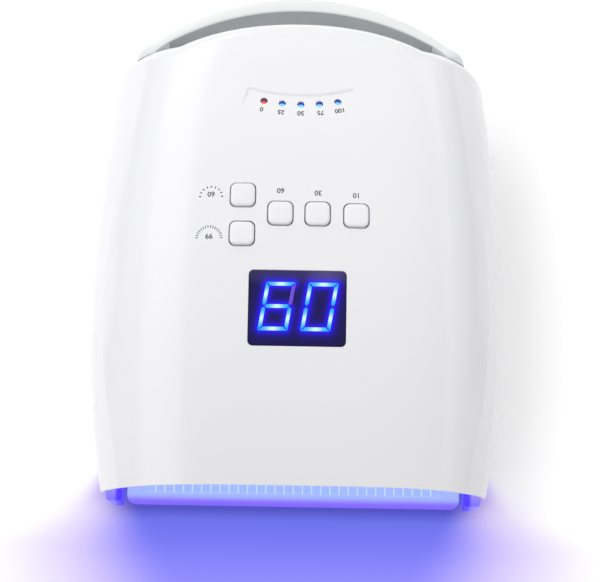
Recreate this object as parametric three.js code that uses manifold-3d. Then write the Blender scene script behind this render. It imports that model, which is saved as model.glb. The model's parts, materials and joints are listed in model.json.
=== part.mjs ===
// A cordless UV/LED nail lamp: an arched hood with a carry handle, a keypad and a timer display on top,
// a lit tunnel for the hand, and a removable base tray.
// Units are millimetres. X runs to the right, Y from the hand opening (-Y) to the handle (+Y), Z up.
// The origin is the centre of the footprint, on the surface that the lamp stands on.

import * as THREE from "three";
import { mergeVertices } from "three/addons/utils/BufferGeometryUtils.js";
import Module from "manifold-3d";

const wasm = await Module();
wasm.setup();

// ---------------------------------------------------------------- driving dimensions

const GAP = 0.3; // clearance between neighbouring pieces

// hood
const LENGTH = 256; // hood front to the back of the handle
const HALF_WIDTH = 103; // widest point of the hood, at WAIST_Y
const HEIGHT = 100; // highest point of the hood, at CROWN_Y
const WAIST_Y = -33;
const CROWN_Y = 20;
const FRONT_Y = -LENGTH / 2;
const REAR_Y = 95; // plane of the rear wall
const REAR_RADIUS = 11;
const BELT_Z = 28; // below the belt the side walls draw in
const BELT_TAPER = 3.5;
const HOOD_BOTTOM = 14;
const WALL = 2.2;
const VISOR = { reach: 12.2, half: 61, low: 58, high: 78, start: 60 };

// hand tunnel
const TUNNEL_HALF = 87;
const TUNNEL_TOP = 62;
const TUNNEL_REAR = 72;
const TUNNEL_RADIUS = 8;
const TUNNEL_WALL = 1.8;
const TUNNEL_START = -94; // the flared mouth ends here

// base and tray
const FRAME_BOTTOM = 2.5;
const FRAME_TOP = HOOD_BOTTOM - GAP;
const PAW_FRONT = -123.9;
const SLOT_HALF = 85;
const SLOT_REAR = 67.5;
const TRAY_HALF = 83.5;
const TRAY_FRONT = -123.4;
const TRAY_REAR = 67;
const TRAY_BOTTOM = 1;
const TRAY_TOP = 7;
const RIB_PITCH = 4.6;

// handle
const HANDLE_BOTTOM = 52;
const HANDLE_TOP = 75;
const HANDLE_OUTER = { reach: LENGTH / 2, endX: 81, endY: 96 };
const HANDLE_INNER = { reach: 119, endX: 73, endY: 96 };
const HANDLE_RADIUS = 5.5;

// controls
const PCB_BOTTOM = 80;
const PCB_TOP = 81.6;
const BUTTON = { size: 11.6, radius: 3, proud: 1.3, slack: 0.45, travel: 0.6 };
const BUTTON_PLACES = [[-26.3, 5.6], [-26.3, -13.7], [-8.3, -3.4], [9.4, -3.4], [27.8, -4]];
const DISPLAY = { x: 0.5, y: -49, width: 45.5, depth: 34.8, radius: 2 };
const GAUGE = { x: 0.5, arcY: 144, dotArcR: 89.1, pitchDeg: 5.83, dotRadius: 1.75 };
const GAUGE_FIELD = { near: 83.8, far: 96.5, halfDeg: 17.8 };

// power
const CELL = { radius: 9.2, length: 65, y: 82, inner: 1.5, heights: [46, 65] };
const PANEL = { half: 30, low: 17.4, high: 34.6, inner: 92.5, outer: 94.7 };
const JACK = { x: -15, z: 26, nose: 4, bore: 2.9, pin: 1 };
const ROCKER = { x: 12, z: 26, pivotY: 94, tilt: 12 };

// ---------------------------------------------------------------- materials

function finish(color, roughness, metalness = 0) {
  return () => new THREE.MeshStandardMaterial({ color, roughness, metalness });
}

const gloss = finish(0xefeff1, 0.18);
const satin = finish(0xebeded, 0.5);
const grey = finish(0xb8bbbe, 0.55);
const darkPlastic = finish(0x26272b, 0.5);
const smoked = finish(0x0a0b1c, 0.06);
const reflector = finish(0xe4e6ea, 0.15, 0.3);
const silvered = finish(0xd8dade, 0.12, 0.9);
const board = finish(0x1f5a3a, 0.5);
const steel = finish(0xb4b6ba, 0.3, 1);
const rubber = finish(0x303134, 0.85);
const cellWrap = finish(0x2f6fb4, 0.4);
const redLens = finish(0xd8202a, 0.2);
const blueLens = finish(0x2a4bf0, 0.2);
const uvLens = finish(0x9a86ff, 0.15);
const leadCover = finish(0xa01c1c, 0.5);

// ---------------------------------------------------------------- shape helpers

// A closed geometry as a solid that can be joined and cut.
function solid(geometry) {
  const bare = geometry.clone();
  bare.deleteAttribute("normal");
  bare.deleteAttribute("uv");
  const merged = mergeVertices(bare, 1e-4);
  const triVerts = new Uint32Array(merged.index.array);
  const vertProperties = merged.attributes.position.array;
  return new wasm.Manifold(new wasm.Mesh({ numProp: 3, vertProperties, triVerts }));
}

function geometryOf(shape) {
  const mesh = shape.getMesh();
  const geometry = new THREE.BufferGeometry();
  geometry.setAttribute("position", new THREE.BufferAttribute(mesh.vertProperties, 3));
  geometry.setIndex(new THREE.BufferAttribute(mesh.triVerts, 1));
  geometry.computeVertexNormals();
  return geometry;
}

function join(...shapes) {
  return shapes.reduce((whole, shape) => whole.add(shape));
}

function cut(shape, ...tools) {
  return tools.reduce((rest, tool) => rest.subtract(tool), shape);
}

function box(low, high) {
  const size = high.map((v, i) => v - low[i]);
  const geometry = new THREE.BoxGeometry(...size);
  geometry.translate(...high.map((v, i) => (v + low[i]) / 2));
  return solid(geometry);
}

// A cylinder between two points.
function rod(radius, from, to, sides = 12) {
  const start = new THREE.Vector3(...from);
  const along = new THREE.Vector3(...to).sub(start);
  const geometry = new THREE.CylinderGeometry(radius, radius, along.length(), sides);
  geometry.translate(0, along.length() / 2, 0);
  const turn = new THREE.Quaternion();
  turn.setFromUnitVectors(new THREE.Vector3(0, 1, 0), along.clone().normalize());
  geometry.applyQuaternion(turn);
  geometry.translate(...from);
  return solid(geometry);
}

// A closed solid from triangles; they are turned over together if they face inwards.
function fromTriangles(points) {
  const flat = points.flatMap((p) => [p.x, p.y, p.z]);
  const geometry = new THREE.BufferGeometry();
  geometry.setAttribute("position", new THREE.Float32BufferAttribute(flat, 3));
  const shape = solid(geometry);
  if (shape.volume() > 0) return shape;
  const turned = [];
  for (let i = 0; i < points.length; i += 3) turned.push(points[i], points[i + 2], points[i + 1]);
  return fromTriangles(turned);
}

// Two triangles, less any that has shrunk to a line.
function quad(list, a, b, c, d) {
  const same = (p, q) => p.distanceToSquared(q) < 1e-8;
  if (!same(a, b) && !same(b, c) && !same(a, c)) list.push(a, b, c);
  if (!same(a, c) && !same(c, d) && !same(a, d)) list.push(a, c, d);
}

// A solid from plan outlines with equal numbers of points, stacked from low to high.
function stack(levels) {
  const list = [];
  const count = levels[0].outline.length;
  const at = (level, i) => new THREE.Vector3(...level.outline[i % count], level.z);
  for (let k = 0; k + 1 < levels.length; k++) {
    for (let i = 0; i < count; i++) {
      quad(list, at(levels[k], i), at(levels[k], i + 1), at(levels[k + 1], i + 1), at(levels[k + 1], i));
    }
  }
  for (const [level, up] of [[levels[0], false], [levels.at(-1), true]]) {
    const flat = level.outline.map((p) => new THREE.Vector2(...p));
    for (const [a, b, c] of THREE.ShapeUtils.triangulateShape(flat, [])) {
      list.push(at(level, a), at(level, up ? b : c), at(level, up ? c : b));
    }
  }
  return fromTriangles(list);
}

// A plan outline with rounded corners, anticlockwise.
function roundedOutline(width, depth, radius, steps = 2, cx = 0, cy = 0) {
  const points = [];
  for (let corner = 0; corner < 4; corner++) {
    const sx = corner === 0 || corner === 3 ? 1 : -1;
    const sy = corner < 2 ? 1 : -1;
    for (let i = 0; i <= steps; i++) {
      const angle = (Math.PI / 2) * (corner + i / steps);
      points.push([
        cx + sx * (width / 2 - radius) + radius * Math.cos(angle),
        cy + sy * (depth / 2 - radius) + radius * Math.sin(angle),
      ]);
    }
  }
  return points;
}

function prism(outline, low, high) {
  return stack([{ outline, z: low }, { outline, z: high }]);
}

// A turned solid about +Z from a profile of [radius, height] points that starts and ends on the axis.
function turned(profile, sides = 12) {
  const geometry = new THREE.LatheGeometry(profile.map((p) => new THREE.Vector2(...p)), sides);
  geometry.rotateX(Math.PI / 2);
  const shape = solid(geometry);
  return shape.volume() > 0 ? shape : turned([...profile].reverse(), sides);
}

// A solid from rings of points, with a fan over each end.
function skin(rings) {
  const list = [];
  const count = rings[0].length;
  for (let k = 0; k + 1 < rings.length; k++) {
    for (let i = 0; i < count; i++) {
      const j = (i + 1) % count;
      quad(list, rings[k][i], rings[k][j], rings[k + 1][j], rings[k + 1][i]);
    }
  }
  for (const [ring, first] of [[rings[0], true], [rings.at(-1), false]]) {
    const middle = ring.reduce((sum, p) => sum.add(p), new THREE.Vector3()).divideScalar(count);
    for (let i = 0; i < count; i++) {
      const j = (i + 1) % count;
      list.push(middle, ring[first ? j : i], ring[first ? i : j]);
    }
  }
  return fromTriangles(list);
}

// A solid whose sections are mirror images about x = 0. point(s, j, t) is a point of section s at level j
// (0 at the bottom edge, levels at the top), with t from 1 at the right edge to -1 at the left edge.
function loft(sections, levels, columns, point) {
  const list = [];
  const across = (m) => 1 - (2 * m) / columns;
  for (let s = 0; s + 1 < sections; s++) {
    for (let j = 0; j < levels; j++) {
      quad(list, point(s, j, 1), point(s, j + 1, 1), point(s + 1, j + 1, 1), point(s + 1, j, 1));
      quad(list, point(s, j, -1), point(s + 1, j, -1), point(s + 1, j + 1, -1), point(s, j + 1, -1));
    }
    for (let m = 0; m < columns; m++) {
      const [a, b] = [across(m), across(m + 1)];
      quad(list, point(s, 0, a), point(s + 1, 0, a), point(s + 1, 0, b), point(s, 0, b));
    }
  }
  const last = sections - 1;
  for (let j = 0; j < levels; j++) {
    for (let m = 0; m < columns; m++) {
      const [a, b] = [across(m), across(m + 1)];
      quad(list, point(0, j, a), point(0, j, b), point(0, j + 1, b), point(0, j + 1, a));
      quad(list, point(last, j, a), point(last, j + 1, a), point(last, j + 1, b), point(last, j, b));
    }
  }
  return fromTriangles(list);
}

function smoothstep(low, high, value) {
  return THREE.MathUtils.smoothstep(value, low, high);
}

// ---------------------------------------------------------------- hood form

function halfWidth(y) {
  const front = y < WAIST_Y;
  const offset = (y - WAIST_Y) / (front ? 85 : 88.5);
  return HALF_WIDTH - (front ? 7.9 : 3.9) * offset ** 2;
}

function crown(y) {
  const front = y < CROWN_Y;
  const offset = Math.abs(y - CROWN_Y) / (front ? 148 : 80);
  return HEIGHT - (front ? 32 : 12) * offset ** 2.2;
}

function taper(z) {
  return z < BELT_Z ? BELT_TAPER * ((BELT_Z - z) / BELT_Z) ** 2 : 0;
}

// Height of the hood's outer surface.
function surface(x, y) {
  const side = Math.max(0, 1 - Math.abs(x / halfWidth(y)) ** 4);
  return BELT_Z + (crown(y) - BELT_Z) * side ** 0.4;
}

// A quarter of a superellipse with unit sides, from (1, 0) to (0, 1), in steps of even length on a
// section of the given width and rise.
function quarterArch(width, rise, powerX, powerZ, steps) {
  const fine = [];
  for (let i = 0; i <= 400; i++) {
    const angle = (Math.PI / 800) * i;
    fine.push([Math.max(0, Math.cos(angle)) ** (2 / powerX), Math.sin(angle) ** (2 / powerZ)]);
  }
  const run = [0];
  for (let i = 1; i < fine.length; i++) {
    const dx = (fine[i][0] - fine[i - 1][0]) * width;
    const dz = (fine[i][1] - fine[i - 1][1]) * rise;
    run.push(run[i - 1] + Math.hypot(dx, dz));
  }
  const points = [];
  for (let k = 0; k <= steps; k++) {
    const want = (run.at(-1) * k) / steps;
    const i = Math.max(1, run.findIndex((length) => length >= want - 1e-9));
    const part = (want - run[i - 1]) / (run[i] - run[i - 1]);
    points.push(fine[i].map((v, axis) => fine[i - 1][axis] + (v - fine[i - 1][axis]) * part));
  }
  points[0] = [1, 0];
  points[steps] = [0, 1];
  return points;
}

const RIM_LEAN = 8;
const HOOD_ARCH = quarterArch(100, 68, 4, 2.5, 12);

// The front rim curves back towards the table.
function rimSetback(z, y) {
  const fade = THREE.MathUtils.clamp(1 - (y - FRONT_Y) / 38, 0, 1) ** 2;
  return RIM_LEAN * (Math.max(68 - z, 0) / 54) ** 2 * fade;
}

// The soft brow over the rear wall.
function visor(x, y, z) {
  const width = Math.max(0, 1 - (x / VISOR.half) ** 2);
  const rise = smoothstep(VISOR.low, VISOR.high, z);
  return VISOR.reach * width * rise * smoothstep(VISOR.start, REAR_Y - REAR_RADIUS, y);
}

// The space inside the hood's outer surface, moved in by inset.
function hood(inset, front = FRONT_Y, bottom = HOOD_BOTTOM) {
  const start = REAR_Y - REAR_RADIUS;
  const stations = [front, -121, -108, -88, -64, -36, -8, 20, 44, 62, 74, start].map((y) => ({ y, drop: 0 }));
  const radius = REAR_RADIUS - inset;
  for (const degrees of [30, 60, 90]) {
    const angle = THREE.MathUtils.degToRad(degrees);
    stations.push({ y: start + radius * Math.sin(angle), drop: radius * (1 - Math.cos(angle)) });
  }
  const low = [bottom, (bottom + BELT_Z) / 2];
  const levels = low.length + HOOD_ARCH.length - 1;
  const place = (station, y, j, t) => {
    const from = Math.min(y, start);
    const half = halfWidth(from) - inset - station.drop;
    if (j < low.length) return [t * (half - taper(low[j])), low[j]];
    const [ux, uz] = HOOD_ARCH[j - low.length];
    return [t * ux * half, BELT_Z + uz * (crown(from) - inset - station.drop - BELT_Z)];
  };
  return loft(stations.length, levels, 8, (s, j, t) => {
    const station = stations[s];
    const [x0, z0] = place(station, station.y, j, t);
    const y = station.y + rimSetback(z0, station.y);
    const [x, z] = place(station, y, j, t);
    return new THREE.Vector3(x, y + visor(x, y, z), z);
  });
}

// ---------------------------------------------------------------- hand tunnel form

const TUNNEL_ARCH = quarterArch(TUNNEL_HALF, TUNNEL_TOP - HOOD_BOTTOM, 3, 2.6, 12);
const MOUTH_ARCH = quarterArch(90, 42, 4, 2.5, 10); // the hood's arch, as far as the flared mouth follows it
const TUNNEL_GAP = WALL + GAP; // the flared mouth lies this far inside the hood

function tunnel(inset, front = FRONT_Y + 1.5, bottom = HOOD_BOTTOM) {
  const start = TUNNEL_REAR - TUNNEL_RADIUS;
  const stations = [front, -118, -108, -100, TUNNEL_START, start].map((y) => ({ y, drop: 0 }));
  const radius = TUNNEL_RADIUS - inset;
  for (const degrees of [45, 90]) {
    const angle = THREE.MathUtils.degToRad(degrees);
    stations.push({ y: start + radius * Math.sin(angle), drop: radius * (1 - Math.cos(angle)) });
  }
  const low = [bottom, (bottom + BELT_Z) / 2];
  const place = (station, y, j, t) => {
    const [ux, uz] = TUNNEL_ARCH[j];
    const half = TUNNEL_HALF - inset - station.drop;
    const top = TUNNEL_TOP - inset - station.drop;
    const wide = halfWidth(y) - TUNNEL_GAP - inset;
    const high = crown(y) - TUNNEL_GAP - inset;
    const [mx, mz] = j < low.length
      ? [wide - taper(low[j]), low[j]]
      : [MOUTH_ARCH[j - 2][0] * wide, BELT_Z + MOUTH_ARCH[j - 2][1] * (high - BELT_Z)];
    const flare = 1 - smoothstep(FRONT_Y + 4, TUNNEL_START, y);
    return [
      t * THREE.MathUtils.lerp(ux * half, mx, flare),
      THREE.MathUtils.lerp(bottom + uz * (top - bottom), mz, flare),
    ];
  };
  return loft(stations.length, TUNNEL_ARCH.length - 1, 4, (s, j, t) => {
    const station = stations[s];
    const [x0, z0] = place(station, station.y, j, t);
    const y = station.y + rimSetback(z0, station.y);
    const [x, z] = place(station, y, j, t);
    return new THREE.Vector3(x, y, z);
  });
}

// A point of the tunnel's outer wall at a share of the way up its arch, and the wall's outward normal.
function tunnelWall(uz) {
  const rise = TUNNEL_TOP - HOOD_BOTTOM;
  const at = (v) => new THREE.Vector2(TUNNEL_HALF * (1 - v ** 2.6) ** (1 / 3), HOOD_BOTTOM + v * rise);
  const step = at(Math.min(1, uz + 0.002)).sub(at(uz - 0.002)).normalize();
  return { point: at(uz), normal: new THREE.Vector2(step.y, -step.x) };
}

// ---------------------------------------------------------------- scene graph

const lamp = new THREE.Group();
lamp.name = "nail_lamp";

function add(name, shape, material, place = [0, 0, 0]) {
  const mesh = new THREE.Mesh(geometryOf(shape), material());
  mesh.name = name;
  mesh.position.set(...place);
  lamp.add(mesh);
  return mesh;
}

// ---------------------------------------------------------------- hood shell

const SCREW_PLACES = [[-93.2, -45], [93.2, -45], [-93.2, 40], [93.2, 40], [-80, 82], [80, 82]];
const PCB_POSTS = [[0, -71.5], [0, 63]];
const TENON = { low: [70.5, 87, 54], high: [78.5, 97, 66] };

function displayOutline(extra) {
  const width = DISPLAY.width + 2 * extra;
  const depth = DISPLAY.depth + 2 * extra;
  return roundedOutline(width, depth, DISPLAY.radius + extra, 2, DISPLAY.x, DISPLAY.y);
}

// The five gauge lamps stand on an arc that opens towards the handle.
function gaugePlace(index) {
  const angle = THREE.MathUtils.degToRad((index - 2) * GAUGE.pitchDeg);
  return [GAUGE.x + GAUGE.dotArcR * Math.sin(angle), GAUGE.arcY - GAUGE.dotArcR * Math.cos(angle)];
}

// A fan-shaped field round the gauge, bounded by arcs about the gauge's centre.
function gaugeField() {
  const points = [];
  for (const radius of [GAUGE_FIELD.near, GAUGE_FIELD.far]) {
    const arc = [];
    for (let i = -4; i <= 4; i++) {
      const angle = THREE.MathUtils.degToRad((GAUGE_FIELD.halfDeg * i) / 4);
      arc.push([GAUGE.x + radius * Math.sin(angle), GAUGE.arcY - radius * Math.cos(angle)]);
    }
    points.push(...(radius === GAUGE_FIELD.far ? arc : arc.reverse()));
  }
  return points;
}

function tenon(side, extra) {
  const low = [side > 0 ? TENON.low[0] : -TENON.high[0], TENON.low[1], TENON.low[2]];
  const high = [side > 0 ? TENON.high[0] : -TENON.low[0], TENON.high[1], TENON.high[2]];
  return box(low.map((v) => v - extra), high.map((v) => v + extra));
}

function screwBoss([x, y]) {
  const side = Math.sign(x);
  const rear = y > 60;
  const low = [rear ? x - 3.4 : Math.min(x - side * 3, side * 110), y - 3.4, HOOD_BOTTOM + GAP];
  const high = rear ? [x + 3.4, REAR_Y + 5, 36] : [Math.max(x - side * 3, side * 110), y + 3.4, 40];
  return box(low, high);
}

function topShell() {
  const core = hood(WALL, FRONT_Y - 14, HOOD_BOTTOM - 6);
  const trim = hood(1);
  let shell = hood(0).subtract(core);
  for (const place of SCREW_PLACES) {
    const hole = rod(1.75, [...place, 0], [...place, 30], 8);
    shell = shell.add(screwBoss(place).intersect(trim)).subtract(hole);
  }
  for (const [x, y] of PCB_POSTS) {
    const post = rod(3, [x, y, PCB_TOP + GAP], [x, y, HEIGHT], 10).intersect(trim);
    shell = shell.add(post).subtract(rod(1.4, [x, y, 0], [x, y, PCB_TOP + 4], 8));
  }
  const tools = [prism(displayOutline(GAP), 84, 110)];
  for (const [x, y] of BUTTON_PLACES) {
    const size = BUTTON.size + 2 * BUTTON.slack;
    tools.push(prism(roundedOutline(size, size, BUTTON.radius, 2, x, y), 90, 110));
  }
  for (let i = 0; i < 5; i++) {
    const [x, y] = gaugePlace(i);
    tools.push(rod(GAUGE.dotRadius, [x, y, 90], [x, y, 110], 12));
  }
  tools.push(prism(gaugeField(), 90, 110).subtract(hood(0.5)));
  const panelGap = PANEL.half + GAP;
  tools.push(box([-panelGap, 85, PANEL.low - GAP], [panelGap, 100, PANEL.high + GAP]));
  for (const side of [-1, 1]) {
    tools.push(tenon(side, GAP));
    for (let i = 0; i < 6; i++) {
      const x = side * (40 + 6 * i);
      tools.push(box([x - 1.5, 90, 20], [x + 1.5, 100, 31]));
    }
  }
  return cut(shell, ...tools);
}

add("top_shell", topShell(), gloss);

// ---------------------------------------------------------------- hand tunnel and its lamps

const LED_ROWS = [0.28, 0.86, 1];
const LED_FIRST_Y = -82;
const LED_PITCH = 26;
const LED_COUNT = 6;
const LED_RADIUS = 3.4;

// The five rows of emitters: two low on the walls, two on the shoulders and one along the roof.
function ledRows() {
  const rows = [];
  for (const share of LED_ROWS) {
    for (const side of share === 1 ? [1] : [-1, 1]) {
      const { point, normal } = share === 1
        ? { point: new THREE.Vector2(0, TUNNEL_TOP), normal: new THREE.Vector2(0, 1) }
        : tunnelWall(share);
      rows.push({ x: side * point.x, z: point.y, nx: side * normal.x, nz: normal.y });
    }
  }
  return rows;
}

function emitter(row, y, radius, from, to, sides) {
  const along = (d) => [row.x + row.nx * d, y, row.z + row.nz * d];
  return rod(radius, along(from), along(to), sides);
}

function ledYs() {
  return Array.from({ length: LED_COUNT }, (_, i) => LED_FIRST_Y + i * LED_PITCH);
}

const SENSOR = { y: -101, half: 7, depth: 3.2 };

function innerReflector() {
  let liner = tunnel(0).subtract(tunnel(TUNNEL_WALL, FRONT_Y - 14, HOOD_BOTTOM - 6));
  for (const row of ledRows()) {
    for (const y of ledYs()) liner = liner.subtract(emitter(row, y, LED_RADIUS + 0.6, -4, 4, 8));
  }
  const [across, along] = [SENSOR.half + GAP, SENSOR.depth + GAP];
  const hole = box([-across, SENSOR.y - along, 50], [across, SENSOR.y + along, 80]);
  return liner.subtract(hole);
}

add("inner_reflector", innerReflector(), reflector);

// One board of emitters: a strip outside the wall, with a dome through each hole.
function ledBoard(row) {
  const half = 7;
  const tangent = [row.nz, -row.nx];
  const at = (u, d, y) => new THREE.Vector3(
    row.x + tangent[0] * u + row.nx * d, y, row.z + tangent[1] * u + row.nz * d);
  const ring = (y) => [at(-half, GAP, y), at(half, GAP, y), at(half, 1.9, y), at(-half, 1.9, y)];
  const ends = [LED_FIRST_Y - 7, LED_FIRST_Y + (LED_COUNT - 1) * LED_PITCH + 7];
  let strip = skin(ends.map(ring));
  for (const y of ledYs()) {
    const low = -TUNNEL_WALL - 1.7;
    const dome = turned([[0, low], [1.9, low + 0.5], [LED_RADIUS, low + 2], [LED_RADIUS, 1], [0, 1]], 8);
    const turn = new THREE.Matrix4().makeBasis(
      new THREE.Vector3(tangent[0], 0, tangent[1]),
      new THREE.Vector3(0, 1, 0),
      new THREE.Vector3(row.nx, 0, row.nz));
    turn.setPosition(row.x, y, row.z);
    strip = strip.add(solid(geometryOf(dome).applyMatrix4(turn)));
  }
  return strip;
}

ledRows().forEach((row, i) => add(`led_board_${i + 1}`, ledBoard(row), uvLens));

function handSensor() {
  const half = SENSOR.half;
  const roof = 66;
  return box([-half, SENSOR.y - SENSOR.depth, roof - 5], [half, SENSOR.y + SENSOR.depth, roof + 3]);
}

add("hand_sensor", handSensor(), darkPlastic);

// ---------------------------------------------------------------- base frame, feet and case screws

const FOOT_PLACES = [[-89.5, -108], [89.5, -108], [-80, 86], [80, 86]];
const FOOT = { width: 6.4, depth: 18, top: 3 };

// The frame's plan at a height: the hood's outline there, with rounded paws at the front corners.
function frameOutline(z) {
  const inset = taper(z);
  const pawRadius = 5;
  const sideStart = PAW_FRONT + pawRadius;
  const right = [];
  const corner = halfWidth(sideStart) - inset - pawRadius;
  for (let i = 0; i <= 3; i++) {
    const angle = (Math.PI / 6) * i;
    right.push([corner + pawRadius * Math.sin(angle), sideStart - pawRadius * Math.cos(angle)]);
  }
  for (const y of [-95, -65, -33, 0, 33, 62, 84]) right.push([halfWidth(y) - inset, y]);
  for (const degrees of [30, 60, 90]) {
    const angle = THREE.MathUtils.degToRad(degrees);
    const x = halfWidth(84) - inset - REAR_RADIUS * (1 - Math.cos(angle));
    right.push([x, REAR_Y - REAR_RADIUS + (REAR_RADIUS - inset) * Math.sin(angle)]);
  }
  return [...right, ...right.map(([x, y]) => [-x, y]).reverse()];
}

function footOutline([x, y], extra) {
  const size = [FOOT.width + 2 * extra, FOOT.depth + 2 * extra];
  const [width, depth] = y > 0 ? size.reverse() : size;
  return roundedOutline(width, depth, FOOT.width / 2 + extra - 0.1, 2, x, y);
}

function baseFrame() {
  let frame = stack([FRAME_BOTTOM, FRAME_TOP].map((z) => ({ outline: frameOutline(z), z })));
  frame = cut(frame,
    box([-SLOT_HALF, -140, 0], [SLOT_HALF, SLOT_REAR, 20]),
    box([-66, 72, 4.6], [66, 91, 20]));
  for (const side of [-1, 1]) {
    const xs = [side * 80.8, side * (SLOT_HALF + 1)].sort((a, b) => a - b);
    frame = frame.add(box([xs[0], -112, FRAME_BOTTOM], [xs[1], SLOT_REAR + 1, 4.2]));
    frame = frame.subtract(box([side * 60 - 5.3, 60, 2.9], [side * 60 + 5.3, 70.6, 6.5]));
  }
  for (const place of SCREW_PLACES) {
    const shank = rod(1.75, [...place, 0], [...place, 20], 8);
    const head = rod(3.4, [...place, 0], [...place, 7.5], 10);
    frame = cut(frame, shank, head);
  }
  for (const place of FOOT_PLACES) {
    frame = frame.subtract(prism(footOutline(place, GAP), 0, FOOT.top + GAP));
  }
  return frame;
}

add("base_frame", baseFrame(), gloss);

const FOOT_NAMES = ["front_left", "front_right", "rear_left", "rear_right"];
FOOT_PLACES.forEach((place, i) => {
  const foot = stack([
    { outline: footOutline(place, -0.6), z: 0 },
    { outline: footOutline(place, 0), z: 0.6 },
    { outline: footOutline(place, 0), z: FOOT.top },
  ]);
  add(`rubber_foot_${FOOT_NAMES[i]}`, foot, rubber);
});

// A pan-head screw with its head at z = 0, its shank rising to length.
function screw(headRadius, headHeight, shankRadius, length) {
  const drive = rod(headRadius * 0.4, [0, 0, -headHeight - 1], [0, 0, -headHeight * 0.4], 6);
  const body = turned([
    [0, -headHeight], [headRadius * 0.8, -headHeight], [headRadius, -headHeight * 0.5], [headRadius, 0],
    [shankRadius, 0], [shankRadius, length - 1.5], [0, length],
  ], 10);
  return body.subtract(drive);
}

SCREW_PLACES.forEach((place, i) => {
  add(`case_screw_${i + 1}`, screw(2.9, 2, 1.35, 19), steel, [...place, 7.2]);
});

// ---------------------------------------------------------------- base tray

const TRAY_MIDDLE = (TRAY_FRONT + TRAY_REAR) / 2;
const MAGNET_X = 60;

function baseTray() {
  const outline = (extra) =>
    roundedOutline(2 * (TRAY_HALF - extra), TRAY_REAR - TRAY_FRONT - 2 * extra, 8 - extra, 3, 0, TRAY_MIDDLE);
  let tray = stack([
    { outline: outline(1.6), z: TRAY_BOTTOM },
    { outline: outline(0.3), z: 2.4 },
    { outline: outline(0), z: 5.4 },
    { outline: outline(0.9), z: TRAY_TOP },
  ]);
  tray = tray.subtract(box([-75, -113, 0], [75, 58, 4.8])).add(box([-76, -32, 2], [76, -30, 5]));
  for (const side of [-1, 1]) {
    const xs = [side * 80.4, side * 90].sort((a, b) => a - b);
    const x = side * MAGNET_X;
    tray = cut(tray,
      box([xs[0], -113.5, 0], [xs[1], 80, 4.5]),
      box([x - 5.3, 62.7, 1.9], [x + 5.3, 80, 5.5]));
  }
  return tray;
}

// The ribbed reflecting plate on the tray; its ribs run from front to back.
function trayMirror() {
  const half = 75;
  const low = TRAY_TOP + GAP;
  const plate = low + 1;
  const crest = plate + 0.5;
  const ribs = Math.floor((half - 3) / RIB_PITCH);
  const shape = new THREE.Shape();
  shape.moveTo(-half, low);
  shape.lineTo(half, low);
  shape.lineTo(half, plate);
  for (let i = ribs; i >= -ribs; i--) {
    const x = i * RIB_PITCH;
    shape.lineTo(x + 0.5, plate);
    shape.lineTo(x + 0.5, crest);
    shape.lineTo(x - 0.5, crest);
    shape.lineTo(x - 0.5, plate);
  }
  shape.lineTo(-half, plate);
  const geometry = new THREE.ExtrudeGeometry(shape, { depth: 176, bevelEnabled: false });
  geometry.rotateX(Math.PI / 2);
  geometry.translate(0, 58, 0);
  return solid(geometry);
}

add("base_tray", baseTray(), gloss);
add("tray_mirror", trayMirror(), silvered);
for (const [side, name] of [[-1, "left"], [1, "right"]]) {
  const x = side * MAGNET_X;
  add(`tray_magnet_${name}`, box([x - 5, 63, 2.2], [x + 5, 66.8, 5.2]), steel);
  add(`magnet_keeper_${name}`, box([x - 5, 67.8, 3.2], [x + 5, 70.3, 6.2]), steel);
}

// ---------------------------------------------------------------- carry handle

// A point of an arc in plan that rises to reach at x = 0 and ends at (endX, endY); part runs from -1 to 1.
function bow({ reach, endX, endY }, part) {
  const rise = reach - endY;
  const radius = (endX ** 2 + rise ** 2) / (2 * rise);
  const angle = Math.asin(endX / radius) * part;
  return new THREE.Vector2(radius * Math.sin(angle), reach - radius * (1 - Math.cos(angle)));
}

// A bar that follows the handle's two arcs, with share 0 on the inner arc and 1 on the outer one.
function handleBar(parts, section) {
  return skin(parts.map((part) => {
    const [inner, outer] = [bow(HANDLE_INNER, part), bow(HANDLE_OUTER, part)];
    return section(inner.distanceTo(outer)).map(([depth, z]) => {
      const point = inner.clone().lerp(outer, depth / inner.distanceTo(outer));
      return new THREE.Vector3(point.x, point.y, z);
    });
  }));
}

// The handle's section: depth from its inner face, and height, with two rounded outer corners.
function gripSection(thickness, top = HANDLE_TOP) {
  const points = [[0, top - 1], [0, HANDLE_BOTTOM + 1], [1, HANDLE_BOTTOM]];
  const centre = thickness - HANDLE_RADIUS;
  for (let i = 0; i <= 3; i++) {
    const angle = (Math.PI / 6) * i;
    const rise = HANDLE_RADIUS * (1 - Math.cos(angle));
    points.push([centre + HANDLE_RADIUS * Math.sin(angle), HANDLE_BOTTOM + rise]);
  }
  for (let i = 3; i >= 0; i--) {
    const angle = (Math.PI / 6) * i;
    points.push([centre + HANDLE_RADIUS * Math.sin(angle), top - HANDLE_RADIUS * (1 - Math.cos(angle))]);
  }
  points.push([1, top]);
  return points;
}

function spread(count, reach) {
  return Array.from({ length: count }, (_, i) => reach * ((2 * i) / (count - 1) - 1));
}

// The stub that carries each end of the bar round onto the hood's corner.
function handleStub(side) {
  const path = [[77, 96, 8, 75], [79.4, 92, 8.6, 72.5], [80.6, 86, 8.8, 68], [80.8, 76, 8.8, 66]];
  const rings = path.map(([x, y, thickness, top], i) => {
    const [nx, ny] = i < 1 ? [0.8, 0.6] : [1, 0.15 * (3 - i)];
    return gripSection(thickness, top).map(([depth, z]) => {
      const offset = depth - thickness / 2;
      return new THREE.Vector3(side * (x + nx * offset), y + ny * offset, z);
    });
  });
  return skin(rings);
}

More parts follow.
